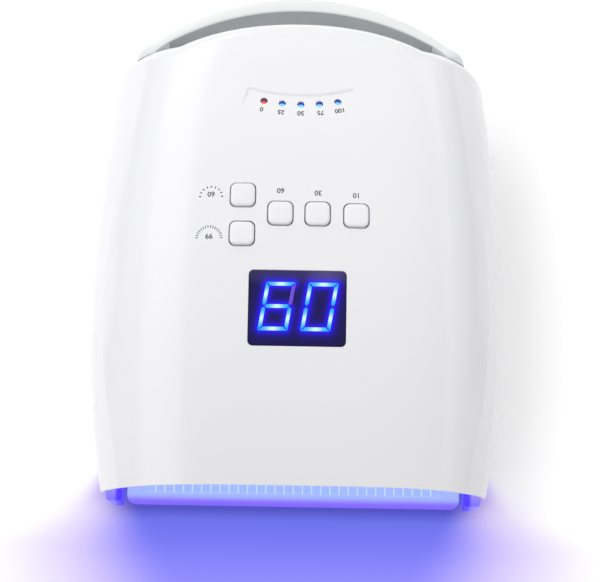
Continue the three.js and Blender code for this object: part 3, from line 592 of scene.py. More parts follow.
def crown(y):
    front = y < CROWN_Y
    offset = np.abs(y - CROWN_Y) / np.where(front, 148, 80)
    return HEIGHT - np.where(front, 32, 12) * offset ** 2.2


def taper(z):
    """How far the sides draw in below the belt."""
    return 3.5 * (np.maximum(BELT_Z - z, 0) / BELT_Z) ** 2


def hood_height(x, y):
    side = np.maximum(0, 1 - np.abs(x / half_width(y)) ** 4)
    return BELT_Z + (crown(y) - BELT_Z) * side ** 0.4


def arch_table(width, rise, power_x, power_z):
    """A quarter superellipse as (share of its length from the top, across, up)."""
    angle = np.linspace(math.pi / 2, 0, 3001)
    across = np.clip(np.cos(angle), 0, 1) ** (2 / power_x)
    up = np.clip(np.sin(angle), 0, 1) ** (2 / power_z)
    run = np.concatenate([[0], np.cumsum(np.hypot(np.diff(across) * width, np.diff(up) * rise))])
    return run / run[-1], across, up, run[-1]


def on_arch(table, share):
    return np.interp(share, table[0], table[1]), np.interp(share, table[0], table[2])


HOOD_ARCH = arch_table(100, 68, 4, 2.5)
ARCH_LENGTH = HOOD_ARCH[3]
SKIRT = 0.1  # the side below the belt, in the hood's coordinate a
VISOR = {"reach": 11.0, "half": 61, "low": 58, "high": 78, "start": 60}


def rim_setback(z, y):
    """The front rim curves back towards the table."""
    fade = np.clip(1 - (y - FRONT_Y) / 38, 0, 1) ** 2
    return RIM_LEAN * (np.maximum(68 - z, 0) / 54) ** 2 * fade


def visor(x, y, z):
    """The soft brow over the rear wall."""
    width = np.maximum(0, 1 - (x / VISOR["half"]) ** 2)
    rise = smoothstep(VISOR["low"], VISOR["high"], z)
    return VISOR["reach"] * width * rise * smoothstep(VISOR["start"], REAR_START, y)


def hood_point(a, b):
    """A point of the hood's outer skin.

    a is 0 on the centre line, 1 or -1 at the belt and 1 + SKIRT at the bottom edge. b runs from front to back
    along Y as far as REAR_START, and then round the rear edge.
    """
    turn = np.clip((b - REAR_START) / REAR_RADIUS, 0, math.pi / 2)
    drop = REAR_RADIUS * (1 - np.cos(turn))
    station = np.minimum(b, REAR_START) + REAR_RADIUS * np.sin(turn)
    size = np.abs(a)
    across, up = on_arch(HOOD_ARCH, np.minimum(size, 1))
    low = BELT_Z - np.maximum(size - 1, 0) / SKIRT * (BELT_Z - BOTTOM)

    def section(y):
        base = np.minimum(y, REAR_START)
        half = half_width(base) - drop
        x = np.where(size > 1, half - taper(low), across * half)
        z = np.where(size > 1, low, BELT_Z + up * (crown(base) - drop - BELT_Z))
        return np.sign(a) * x, z

    x, z = section(station)
    y = station + rim_setback(z, station)
    x, z = section(y)
    return np.stack([x, y + visor(x, y, z), z], -1)


def hood_coordinates(points):
    """The (a, b) of plan points on top of the hood."""
    x, y = points[:, 0], points[:, 1]
    b = y.copy()
    for _ in range(20):
        z = hood_height(x, b)
        b = y - visor(x, b, z) - rim_setback(z, b)
    a = np.interp(np.abs(x) / half_width(b), HOOD_ARCH[1], HOOD_ARCH[0])
    return np.stack([np.sign(x) * a, b], 1)


def crease_at(b):
    """The a of the soft crease along each roundover."""
    across = 0.898 - np.where(b > -60, 0.047 * ((b + 60) / 83) ** 2, 0.017 * ((b + 60) / 50) ** 2)
    return np.interp(np.clip(across, 0.6, 1), HOOD_ARCH[1], HOOD_ARCH[0])


CREASE = {"height": 0.75, "reach": 9}


def crease_height(a, b):
    """The crease stands a little proud and fades out towards both ends."""
    offset = np.abs(np.abs(a) - crease_at(b)) * ARCH_LENGTH
    strength = smoothstep(34, -10, b) * smoothstep(-122, -92, b)
    return CREASE["height"] * strength * np.maximum(0, 1 - offset / CREASE["reach"]) ** 2


# ---------------------------------------------------------------- gauge field, holes and the hood's sheet

LAMPS = [middle(f"gauge_lamp_{i}") for i in range(1, 6)]
GAUGE_X = LAMPS[2][0]
GAUGE = {"y": 144, "inner": 83.8, "outer": 96.5, "half": math.radians(17.8), "depth": 0.5, "edge": 0.3}


def gauge_polar(points):
    """(distance, angle) of plan points about the gauge's centre, the angle from straight ahead."""
    dx, dy = points[..., 0] - GAUGE_X, GAUGE["y"] - points[..., 1]
    return np.hypot(dx, dy), np.arctan2(dx, dy)


def gauge_plan(radius, angle):
    return np.stack([GAUGE_X + radius * np.sin(angle), GAUGE["y"] - radius * np.cos(angle)], -1)


def gauge_recess(points):
    """Depth of the sunk field round the gauge: crisp behind and at the sides, fading towards the front."""
    radius, angle = gauge_polar(points)
    edge = GAUGE["edge"]
    rear = np.clip((radius - GAUGE["inner"]) / edge, 0, 1)
    side = np.clip((GAUGE["half"] - np.abs(angle)) * radius / edge, 0, 1)
    return GAUGE["depth"] * rear * side * (1 - smoothstep(GAUGE["inner"] + 2, GAUGE["outer"] + 4, radius))


def gauge_edges():
    """The pairs of lines between which the field's edge drops."""
    edges = []
    angles = np.linspace(-1, 1, 41) * GAUGE["half"]
    for inset in (0, GAUGE["edge"]):
        edges.append((gauge_plan(GAUGE["inner"] + inset, angles * (1 - inset / 26)), False))
        radii = np.linspace(GAUGE["inner"] + 1, GAUGE["outer"] + 3, 14)
        for side in (-1, 1):
            edges.append((gauge_plan(radii, side * (GAUGE["half"] - inset / radii)), False))
    return edges


BUTTONS = ["preset_60_side", "preset_99", "preset_60", "preset_30", "preset_10"]
KEY_SIZE = 11.6
KEY_SLACK = 0.45
KEY_RADIUS = 3
KEY_PLACES = [middle(f"button_{name}")[:2] for name in BUTTONS]
WINDOW_LOW, WINDOW_HIGH = span("display_window")
WINDOW_SIZE = (WINDOW_HIGH - WINDOW_LOW)[:2]
WINDOW_CENTRE = (WINDOW_HIGH + WINDOW_LOW)[:2] / 2
WINDOW_RADIUS = 2
LAMP_HOLE = 1.75


def top_holes():
    """Functions that give the outline of each hole in the top, moved out by an amount."""
    holes = [lambda out: rounded_rectangle(*(WINDOW_SIZE + 2 * (GAP + out)), WINDOW_RADIUS + GAP + out,
                                           WINDOW_CENTRE, 8)]
    for place in KEY_PLACES:
        size = KEY_SIZE + 2 * KEY_SLACK
        holes.append(lambda out, place=place, size=size: rounded_rectangle(
            size + 2 * out, size + 2 * out, KEY_RADIUS + out, place, 8))
    for lamp in LAMPS:
        holes.append(lambda out, lamp=lamp: circle(LAMP_HOLE + out, lamp[:2], 28))
    return holes


def densify(loop, step):
    """Adds points to the long straight runs of a closed loop."""
    result = []
    for p, q in zip(loop, np.roll(loop, -1, axis=0)):
        count = max(1, int(np.linalg.norm(q - p) / step))
        result += [p + (q - p) * k / count for k in range(count)]
    return np.array(result)


def hood_lattice():
    """Rows and columns of (a, b) over the hood, with columns that follow the crease."""
    reach = CREASE["reach"] / ARCH_LENGTH
    near = np.array([-1, -0.75, -0.55, -0.4, -0.27, -0.17, -0.1, -0.045, 0, 0.045, 0.1, 0.17, 0.27, 0.4,
                     0.55, 0.75, 1]) * reach
    skirt_end = 1 + SKIRT * (BELT_Z - BOTTOM - HEM_RADIUS) / (BELT_Z - BOTTOM)
    rows = np.concatenate([np.linspace(FRONT_Y + 0.75 * RIM_RADIUS, REAR_START, 98),
                           REAR_START + REAR_RADIUS * math.pi / 2 * np.linspace(0, 1, 11)[1:]])
    points = []
    for b in rows:
        crease = float(crease_at(b))
        sides = np.linspace(0.86, 1, 14)
        sides[1:-1] += 1e-5 * b
        half = np.concatenate([
            np.linspace(0, crease - reach, 50)[:-1], crease + near, np.linspace(crease + reach, 0.86, 12)[1:-1],
            sides, np.linspace(1, skirt_end, 6)[1:]])
        across = np.concatenate([-half[:0:-1], half])
        points.append(np.stack([across, np.full(len(across), b)], 1))
    return np.concatenate(points)


def hood_sheet():
    """The outer skin of the hood's top, sides and rear edge."""
    lattice = hood_lattice()
    plan = hood_point(lattice[:, 0], lattice[:, 1])
    keep = np.ones(len(lattice), bool)
    loops, drops = [], []
    for hole in top_holes():
        rim = densify(hole(EDGE_RADIUS), 2)
        collar = densify(hole(EDGE_RADIUS + 0.9), 2)
        near = (np.abs(plan[:, :2] - rim.mean(0)).max(1) < 30) & (plan[:, 2] > BELT_Z + 20)
        spots = np.where(near)[0]
        clear = away_from(plan[spots, :2], collar, 0.9) & ~inside(plan[spots, :2], collar)
        keep[spots[~clear]] = False
        loops += [(rim, True), (collar, True)]
        drops.append(rim)
    for line, closed in gauge_edges():
        spots = np.where(keep & (np.abs(plan[:, 0]) < 40) & (plan[:, 1] > 40) & (plan[:, 2] > 80))[0]
        keep[spots[~away_from(plan[spots, :2], line, 0.7)]] = False
        loops.append((line, closed))
    scale = np.array([ARCH_LENGTH, 1])
    flat_loops = [(hood_coordinates(loop) * scale, closed) for loop, closed in loops]
    flat_holes = [hood_coordinates(loop) * scale for loop in drops]
    places, faces = triangulate(lattice[keep] * scale, flat_loops, flat_holes)
    a, b = places[:, 0] / ARCH_LENGTH, places[:, 1]
    skin_points = hood_point(a, b)
    step = 1e-4
    slope_a = hood_point(a + step, b) - hood_point(a - step, b)
    slope_b = hood_point(a, b + step * 50) - hood_point(a, b - step * 50)
    out = unit(np.cross(slope_a, slope_b))
    relief = crease_height(a, b) - gauge_recess(skin_points) * (skin_points[:, 2] > 80)
    return skin_points + relief[:, None] * out, faces, b


def stadium(width, height, centre, steps=6):
    """A slot with round ends, its length along the second axis."""
    return rounded_rectangle(width, height, width / 2 - 0.01, centre, steps)


PANEL_LOW, PANEL_HIGH = span("rear_panel")
PANEL_HOLE = {"half": 30.3, "low": 17.1, "high": 34.9}
VENT_XS = [side * (40 + 6 * i) for side in (-1, 1) for i in range(6)]


def rear_sheet(boundary):
    """The flat rear wall inside the rear edge, in (x, z), with its panel opening and vents."""
    low, high = boundary.min(0), boundary.max(0)
    spacing = 4
    xs, zs = np.meshgrid(np.arange(low[0], high[0], spacing), np.arange(low[1], high[1], spacing))
    grid = np.stack([xs.ravel(), zs.ravel()], 1)
    keep = inside(grid, boundary) & away_from(grid, densify(boundary, 2), 2)
    height = PANEL_HOLE["high"] - PANEL_HOLE["low"]
    middle_z = (PANEL_HOLE["high"] + PANEL_HOLE["low"]) / 2
    shapes = [lambda out: rounded_rectangle(2 * (PANEL_HOLE["half"] + out), height + 2 * out, 1 + out, (0, middle_z))]
    for x in VENT_XS:
        shapes.append(lambda out, x=x: stadium(3 + 2 * out, 11 + 2 * out, (x, 25.5)))
    loops, drops = [(boundary, True)], []
    for shape in shapes:
        rim = densify(shape(EDGE_RADIUS), 3)
        keep &= away_from(grid, rim, 1.2) & ~inside(grid, rim)
        loops.append((rim, True))
        drops.append(rim)
    places, faces = triangulate(grid[keep], loops, drops)
    return places, faces[inside(places[faces].mean(axis=1), boundary)]


def top_shell():
    front, front_faces, b = hood_sheet()
    edge = np.where(b > REAR_START + REAR_RADIUS * math.pi / 2 - 1e-3)[0]
    around = np.arctan2(front[edge, 0], front[edge, 2] - BOTTOM + 1)
    boundary = front[edge[np.argsort(around)]][:, [0, 2]]
    places, rear_faces = rear_sheet(boundary)
    y = REAR_Y + visor(places[:, 0], np.full(len(places), REAR_Y), places[:, 1])
    rear = np.stack([places[:, 0], y, places[:, 1]], 1)
    vertices = np.concatenate([front, rear])
    faces = np.concatenate([front_faces, rear_faces[:, ::-1] + len(front)])
    vertices, faces = weld(vertices, faces)

    def radius_at(points):
        if len(points) < 200:
            return np.full(len(points), EDGE_RADIUS)
        rim = smoothstep(FRONT_Y + 14, FRONT_Y + 12, points[:, 1])
        return HEM_RADIUS + (RIM_RADIUS - HEM_RADIUS) * rim

    shell = thicken("hood_shell", vertices, faces, WALL, radius_at, MATERIALS["shell_white"])
    stands_for(shell, "top_shell")


# ---------------------------------------------------------------- display

DIGIT = {"width": 14.0, "height": 22.6, "bar": 1.7, "gap": 0.42, "lean": math.radians(9.6), "lift": 0.04}
DIGIT_XS = (-9.6, 10.4)
DIGIT_Y = 0.7
WINDOW_DROP = 0.2
LIT = {"6": "afgedc", "0": "abcdef"}


def segments(width, height, bar):
    """Each bar of a seven-segment digit: its two ends and how each side tapers at each end.

    The tapers are (left at start, right at start, left at end, right at end); the left side is on the left
    going from start to end. OUTER keeps its full width, INNER is cut at 45 degrees and POINT comes to a point.
    """
    outer, inner, point = bar * 0.28, -bar * 0.5, 0.0
    x, y = width / 2, height / 2
    in_x, in_y = x - bar / 2, y - bar / 2
    return {
        "a": ((-x, in_y), (x, in_y), (outer, inner, outer, inner)),
        "d": ((-x, -in_y), (x, -in_y), (inner, outer, inner, outer)),
        "g": ((-in_x, 0), (in_x, 0), (point, point, point, point)),
        "f": ((-in_x, 0), (-in_x, y), (point, point, outer, inner)),
        "b": ((in_x, 0), (in_x, y), (point, point, inner, outer)),
        "e": ((-in_x, -y), (-in_x, 0), (outer, inner, point, point)),
        "c": ((in_x, -y), (in_x, 0), (inner, outer, point, point)),
    }


def lean(points, x):
    """A digit's own points as plan points on the lamp, slanted and centred at x."""
    points = np.asarray(points, float)
    return np.stack([
        WINDOW_CENTRE[0] + x + points[..., 0] + points[..., 1] * math.tan(DIGIT["lean"]),
        WINDOW_CENTRE[1] + DIGIT_Y + points[..., 1]], -1)


def window_height(points):
    return hood_height(points[..., 0], points[..., 1]) - WINDOW_DROP


def light_along(share):
    """Colour along a lit bar: pale in the middle, blue towards the ends."""
    middle_colour, end_colour = np.array([0.62, 1.0, 0.95]), np.array([0.0, 0.42, 0.95])
    glow = np.exp(-((share - 0.5) / 0.2) ** 2)[:, None]
    return end_colour + (middle_colour - end_colour) * glow


def digit_bar(name, start, end, tapers, x, dim):
    start, end = np.array(start, float), np.array(end, float)
    length = np.linalg.norm(end - start)
    along = (end - start) / length
    left = np.array([-along[1], along[0]])
    bar, gap = DIGIT["bar"], DIGIT["gap"]
    run = np.unique(np.concatenate([np.linspace(gap, length - gap, 25), [bar / 2, bar, length - bar, length - bar / 2]]))
    from_start, from_end = run - gap, length - gap - run
    reach = [np.minimum(np.minimum(from_start + tapers[k], from_end + tapers[k + 2]), bar / 2) for k in (0, 1)]
    reach = [np.maximum(own, 0.02 - other) for own, other in (reach, reach[::-1])]
    sides = [start + run[:, None] * along + sign * own[:, None] * left for sign, own in zip((1, -1), reach)]
    plan = np.concatenate([lean(sides[0], x), lean(sides[1], x)])
    count = len(run)
    top = np.column_stack([plan, window_height(plan) + DIGIT["lift"]])
    low = top - [0, 0, 0.5]
    faces = []
    for i in range(count - 1):
        a, b, c, d = i, i + 1, count + i + 1, count + i
        faces += [(d, c, b, a), tuple(v + 2 * count for v in (a, b, c, d))]
        faces += [(a, b, b + 2 * count, a + 2 * count), (c, d, d + 2 * count, c + 2 * count)]
    for a, d in ((0, count), (count - 1, 2 * count - 1)):
        ends = (a, a + 2 * count, d + 2 * count, d)
        faces.append(ends if a == 0 else ends[::-1])
    piece = make_object(name, np.concatenate([top, low]), faces, MATERIALS["digits"])
    share = np.tile(run / length, 4)
    # An unlit bar keeps a faint painted violet glow.
    colours = np.tile([0.16, 0.06, 0.62], (len(share), 1)) if dim else light_along(share)
    paint(piece, "light", colours)
    return rides_on(piece, "housing")


def distance_to_bar(points, start, end):
    start, end = np.asarray(start), np.asarray(end)
    along = end - start
    share = np.clip((points - start) @ along / (along @ along), 0, 1)
    return np.linalg.norm(points - start - share[:, None] * along, axis=1)


def display():
    bars = []
    table = segments(DIGIT["width"], DIGIT["height"], DIGIT["bar"])
    for number, x in zip("60", DIGIT_XS):
        for key, (start, end, tapers) in table.items():
            lit = key in LIT[number]
            if lit or number == "6":
                digit_bar(f"display_{'tens' if x < 0 else 'units'}_{key}", start, end, tapers, x, not lit)
            if lit:
                trim = 1.2 * unit(np.subtract(end, start))
                bars.append((lean(start + trim, x), lean(end - trim, x)))
    outline = lambda out: rounded_rectangle(*(WINDOW_SIZE + 2 * out), WINDOW_RADIUS + out, WINDOW_CENTRE, 8)
    rim, collar = densify(outline(-0.25), 0.8), densify(outline(-0.8), 0.8)
    xs, ys = (np.arange(c - s / 2, c + s / 2, 0.7) for c, s in zip(WINDOW_CENTRE, WINDOW_SIZE))
    grid = np.stack([v.ravel() for v in np.meshgrid(xs, ys)], 1)
    grid = grid[inside(grid, collar) & away_from(grid, collar, 0.4)]
    places, faces = triangulate(grid, [(rim, True), (collar, True)], [])
    sheet = np.column_stack([places, window_height(places)])
    piece = thicken("display_glass", sheet, faces, 2.0, lambda p: np.full(len(p), 0.25), MATERIALS["window"])
    plan = np.array([v.co for v in piece.data.vertices])[:, :2] / MM
    # Painted light on the window: a faint violet all over, a blue glow round the lit bars and a painted reflection
    # along its rear edge.
    nearest = np.min([distance_to_bar(plan, *bar) for bar in bars], axis=0) - DIGIT["bar"] / 2
    nearest = np.maximum(nearest, 0)[:, None]
    light = np.array([0.005, 0.003, 0.03]) + np.exp(-(nearest / 1.35) ** 1.5) * np.array([0.01, 0.0, 0.8])
    light = light + np.exp(-nearest / 3.2) * np.array([0.006, 0.0, 0.27])
    across, along = (plan - WINDOW_CENTRE).T / WINDOW_SIZE[:, None]
    painted_sheen = smoothstep(0.27, 0.47, along) * (0.35 + 0.65 * smoothstep(0.0, 0.3, across) * smoothstep(0.55, 0.3, across))
    light = light + painted_sheen[:, None] * np.array([0.07, 0.06, 0.12])
    paint(piece, "light", light)
    stands_for(piece, "display_window")


# ---------------------------------------------------------------- keys and gauge lamps


def key_cap(name, place):
    """A pillow-topped cap with a flange and a stem below the hood."""
    low, high = span(name)
    top = high[2]
    levels = []
    square = lambda size, radius: rounded_rectangle(size, size, radius, place, 8)
    flange = top - 1.3 - 3.4
    levels += [(square(4.8, 2.39), low[2]), (square(4.8, 2.39), flange - 0.9), (square(14.4, 3.4), flange - 0.9),
               (square(14.4, 3.4), flange), (square(KEY_SIZE, KEY_RADIUS), flange)]
    roll, pillow = 1.35, 0.22
    shoulder = top - pillow
    for degrees in np.linspace(0, 80, 9):
        angle = math.radians(degrees)
        inset = roll * (1 - math.cos(angle))
        levels.append((square(KEY_SIZE - 2 * inset, KEY_RADIUS - inset * 0.6), shoulder - 0.9 * (1 - math.sin(angle))))
    last = KEY_SIZE - 2 * roll
    for share in (0.97, 0.85, 0.68, 0.5, 0.32, 0.14):
        levels.append((square(last * share, 2.2 * share), top - pillow * share ** 2))
    piece = stack(f"{name}_cap", levels, MATERIALS["keys"])
    crisp(piece, 40)
    stands_for(piece, name)


def gauge_lamp(name, red):
    """A small lens whose front half catches painted light and whose rear half lies in a painted shade from the hole."""
    low, high = span(name)
    x, y = middle(name)[:2]
    radius, top = 1.62, high[2]
    profile = [(0, low[2]), (1.4, low[2]), (1.4, top - 1.2), (radius, top - 1.2), (radius, top - 0.45)]
    profile += [(radius * math.cos(t), top - 0.45 + 0.45 * math.sin(t)) for t in np.linspace(0.1, 1.5, 12)]
    piece = turned(f"{name}_lens", [(r, z) for r, z in profile], MATERIALS["lens"], 48)
    move(piece, Matrix.Translation((x, y, 0)))
    local = np.array([v.co for v in piece.data.vertices])[:, :2] / MM - (x, y)
    bend = local[:, 1] + 0.18 * local[:, 0] ** 2
    # Painted light on the lens's front half and painted shade on its rear half.
    front = smoothstep(0.25, -0.35, bend)[:, None]
    lit, shade = ((1.0, 0.03, 0.04), (0.01, 0, 0)) if red else ((0.16, 0.72, 1.0), (0.0, 0.005, 0.3))
    paint(piece, "light", np.array(shade) + front * (np.array(lit) - np.array(shade)))
    stands_for(piece, name)


# ---------------------------------------------------------------- printed marks


def lay_on_hood(piece, lift=0.03):
    """Presses a flat printed mark onto the hood; its own Z becomes the ink's thickness."""
    points = np.array([v.co for v in piece.data.vertices]) / MM
    depth = gauge_recess(points)
    base = hood_height(points[:, 0], points[:, 1]) - depth
    points[:, 2] = base + np.where(points[:, 2] > 0, lift, -0.12)
    piece.data.vertices.foreach_set("co", (points * MM).astype(np.float32).ravel())
    piece.data.update()
    return rides_on(piece, "housing")


def printed_number(name, text, x, y, height, degrees, material):
    """A number printed on the hood, turned by an angle from upright as seen from the hand opening."""
    curve = bpy.data.curves.new(name, "FONT")
    curve.body = text
    curve.size = height * 1.37 * MM
    curve.align_x, curve.align_y = "CENTER", "CENTER"
    curve.extrude = 0.1 * MM
    curve.offset = 0.07 * MM
    writer = bpy.data.objects.new(name, curve)
    bpy.context.scene.collection.objects.link(writer)
    bpy.context.view_layer.update()
    mesh = bpy.data.meshes.new_from_object(writer.evaluated_get(bpy.context.evaluated_depsgraph_get()))
    bpy.data.objects.remove(writer)
    mesh.materials.clear()
    mesh.materials.append(MATERIALS[material])
    piece = bpy.data.objects.new(name, mesh)
    bpy.context.scene.collection.objects.link(piece)
    move(piece, Matrix.Translation((x, y, 0)) @ Matrix.Rotation(math.radians(degrees), 4, "Z"))
    return lay_on_hood(piece)


def printed_dashes(name, centre, radius, count, size, material):
    """Short dashes round the far half of a circle."""
    vertices, faces = [], []
    for i in range(count):
        angle = math.pi * (0.02 + 0.96 * i / (count - 1))
        out = np.array([math.cos(angle), math.sin(angle)])
        across = np.array([-out[1], out[0]])
        start = len(vertices)
        for z in (-0.1, 0.1):
            for u, v in ((-1, -1), (1, -1), (1, 1), (-1, 1)):
                place = np.array(centre) + out * (radius + u * size[0] / 2) + across * v * size[1] / 2
                vertices.append((*place, z))
        a = start
        faces += [(a + 3, a + 2, a + 1, a), (a + 4, a + 5, a + 6, a + 7)]
        faces += [(a + k, a + (k + 1) % 4, a + 4 + (k + 1) % 4, a + 4 + k) for k in range(4)]
    return lay_on_hood(make_object(name, vertices, faces, MATERIALS[material]))


def printed_marks():
    upside_down = 180
    for name, text, offset in (("mark_60", "60", (-0.1, 11.5)), ("mark_30", "30", (0.1, 10.6)), ("mark_10", "10", (0, 10.3))):
        place = KEY_PLACES[BUTTONS.index("preset_" + text)]
        printed_number(name, text, place[0] + offset[0], place[1] + offset[1], 2.6, upside_down, "ink_grey")
    for name, text, button, offset in (("mark_side_60", "60", "preset_60_side", (-15.2, 0.4)),
                                       ("mark_99", "99", "preset_99", (-15.6, -1.4))):
        place = KEY_PLACES[BUTTONS.index(button)] + np.array(offset)
        printed_number(name, text, *place, 2.6, upside_down, "ink_grey")
    side = KEY_PLACES[0] + np.array((-15.2, -1.2))
    printed_dashes("mark_dots", side, 5.3, 9, (0.9, 0.6), "ink_grey")
    low = KEY_PLACES[1] + np.array((-15.6, -2.6))
    printed_dashes("mark_ticks", low, 5.9, 16, (1.3, 0.38), "ink_grey")
    centre = np.array([GAUGE_X, GAUGE["y"]])
    for lamp, text in zip(LAMPS, ("0", "25", "50", "75", "100")):
        spoke = lamp[:2] - centre
        angle = math.atan2(spoke[0], -spoke[1])
        place = gauge_plan(np.linalg.norm(spoke) + 5.2, angle)
        printed_number(f"gauge_{text}", text, *place, 2.5, upside_down + math.degrees(angle), "ink_black")


# ---------------------------------------------------------------- more helpers for solids


def stack_back(name, levels, material):
    """A solid from (outline in x and z, y) levels, front to back."""
    rings = [np.column_stack([o[::-1, 0], np.full(len(o), y), o[::-1, 1]]) for o, y in levels]
    return make_object(name, *skin(rings), material)


def gather(*pieces):
    """Puts solids that don't touch into one mesh, for one cut."""
    vertices, faces = [], []
    for piece in pieces:
        start = len(vertices)
        vertices += [tuple(v.co / MM) for v in piece.data.vertices]
        faces += [tuple(v + start for v in face.vertices) for face in piece.data.polygons]
        material = piece.data.materials[0]
        bpy.data.objects.remove(piece)
    return make_object("gathered", vertices, faces, material)


def smooth_path(keys, steps):
    """A Catmull-Rom path through rows of numbers."""
    keys = np.array(keys, float)
    padded = np.vstack([2 * keys[0] - keys[1], keys, 2 * keys[-1] - keys[-2]])
    rows = []
    for i in range(1, len(padded) - 2):
        p0, p1, p2, p3 = padded[i - 1:i + 3]
        for t in np.arange(steps) / steps:
            rows.append(0.5 * (2 * p1 + (p2 - p0) * t + (2 * p0 - 5 * p1 + 4 * p2 - p3) * t ** 2
                               + (3 * p1 - p0 - 3 * p2 + p3) * t ** 3))
    return np.array(rows + [keys[-1]])


# ---------------------------------------------------------------- carry handle

HANDLE_LOW, HANDLE_HIGH = span("carry_handle")
GRIP_TOP = HANDLE_HIGH[2]
GRIP_BOTTOM = 52
GRIP_CORNER = 5.5
BOW_OUTER = {"end": (81, 96), "reach": HANDLE_HIGH[1]}
BOW_INNER = {"end": (73, 96), "reach": 119}
STUB_KEYS = [(77.5, 95.8, 0.93, 0.37, 8, 75), (79.4, 92, 0.958, 0.287, 8.6, 72.5),
             (80.6, 86, 0.989, 0.148, 8.8, 68), (80.8, 76, 1, 0, 8.8, 66)]
COVER = {"depth": 2.2, "low": 53.6, "high": 73.8, "part": 0.9}
TENON = {"low": (70.5, 87, 54), "high": (78.5, 97, 66)}


def arc_at(arc, part):
    """A plan point of one of the handle's two arcs; part runs from -1 to 1."""
    end_x, end_y = arc["end"]
    rise = arc["reach"] - end_y
    radius = (end_x ** 2 + rise ** 2) / (2 * rise)
    angle = math.asin(end_x / radius) * part
    return np.array([radius * math.sin(angle), arc["reach"] - radius * (1 - math.cos(angle))])


def grip_key(part):
    """The grip's middle in plan, its outward direction, thickness and top height."""
    inner, outer = arc_at(BOW_INNER, part), arc_at(BOW_OUTER, part)
    thickness = np.linalg.norm(outer - inner)
    return (*(inner + outer) / 2, *(outer - inner) / thickness, thickness, GRIP_TOP)


def grip_section(thickness, top):
    """(depth from the inner face, height) round the grip, with two well rounded outer corners."""
    points = [(0.0, GRIP_BOTTOM + 0.9), (0.25, GRIP_BOTTOM + 0.25), (0.9, GRIP_BOTTOM)]
    centre = thickness - GRIP_CORNER
    for start, z in ((-90, GRIP_BOTTOM + GRIP_CORNER), (0, top - GRIP_CORNER)):
        for degrees in np.linspace(start, start + 90, 8):
            t = math.radians(degrees)
            points.append((centre + GRIP_CORNER * math.cos(t), z + GRIP_CORNER * math.sin(t)))
    points += [(1.3, top), (0.4, top - 0.28), (0.0, top - 1.1)]
    return np.array(points)


def cover_section(slack):
    """(depth, height) round the cover, or round its pocket when there is slack."""
    low, high = COVER["low"] - slack, COVER["high"] + slack
    face = -1 if slack else 0
    outline = rounded_rectangle(COVER["depth"] + slack - face, high - low, 0.4,
                                ((COVER["depth"] + slack + face) / 2, (low + high) / 2), 3)
    return outline


def bar_along(name, keys, section_of, material):
    """A solid that carries a section along (x, y, outward x, outward y, thickness, top) keys."""
    rings = []
    for x, y, nx, ny, thickness, top in keys:
        section = section_of(thickness, top)
        outward = unit(np.array([nx, ny]))
        plan = np.array([x, y]) + (section[:, :1] - thickness / 2) * outward
        rings.append(np.column_stack([plan, section[:, 1]]))
    piece = make_object(name, *skin(rings), material)
    return piece


def hood_space(out, first_b):
    """The hood's space behind a station, swollen by an amount, to cut other pieces back to it."""
    a = np.linspace(-1 - SKIRT * 0.98, 1 + SKIRT * 0.98, 121)
    rows = np.concatenate([np.linspace(first_b, REAR_START, 12),
                           REAR_START + REAR_RADIUS * math.pi / 2 * np.linspace(0, 1, 9)[1:]])
    rings = []
    for b in rows:
        station = np.full(len(a), b)
        across = hood_point(a + 1e-4, station) - hood_point(a - 1e-4, station)
        along = hood_point(a, station + 0.005) - hood_point(a, station - 0.005)
        rings.append(hood_point(a, station) + out * unit(np.cross(across, along)))
    return make_object("hood_space", *skin(rings), MATERIALS["shell_white"])


def carry_handle():
    half = [grip_key(part) for part in np.linspace(0, 0.92, 12)] + STUB_KEYS
    mirrored = [(-x, y, -nx, ny, thickness, top) for x, y, nx, ny, thickness, top in half[:0:-1]]
    keys = smooth_path(mirrored + half, 6)
    handle = bar_along("handle_bow", keys[::-1], grip_section, MATERIALS["handle_white"])
    parts = np.linspace(1, -1, 81)
    pocket_keys = [grip_key(part * (COVER["part"] + 0.005)) for part in parts]
    pocket = bar_along("pocket", pocket_keys, lambda *_: cover_section(GAP), MATERIALS["handle_white"])
    combine(handle, "DIFFERENCE", pocket, hood_space(GAP, 66))
    for side in (-1, 1):
        low, high = np.array(TENON["low"], float), np.array(TENON["high"], float)
        if side < 0:
            low[0], high[0] = -high[0], -low[0]
        combine(handle, "UNION", block("tenon", low, high, MATERIALS["handle_white"]))
    crisp(handle, 32)
    stands_for(handle, "carry_handle")
    # The grey liner over the handle's inner face is a part of its own; its dark grey is partly painted shade that falls
    # on that face.
    cover_keys = [grip_key(part * COVER["part"]) for part in parts]
    cover = bar_along("handle_liner", cover_keys, lambda *_: cover_section(0), MATERIALS["handle_grey"])
    crisp(cover, 40)
    stands_for(cover, "handle_inner_cover")


# ---------------------------------------------------------------- hand tunnel

TUNNEL_ARCH = arch_table(TUNNEL_HALF, TUNNEL_TOP - BOTTOM, 3, 2.6)
MOUTH_ARCH = arch_table(90, 42, 4, 2.5)
MOUTH_SKIRT = 2 / 12
LED_SHARES = (0.28, 0.86, 1)
LED_YS = [-82 + 26 * i for i in range(6)]
LED_RADIUS = 3.4
SENSOR = {"y": -101, "half": 7, "depth": 3.2}


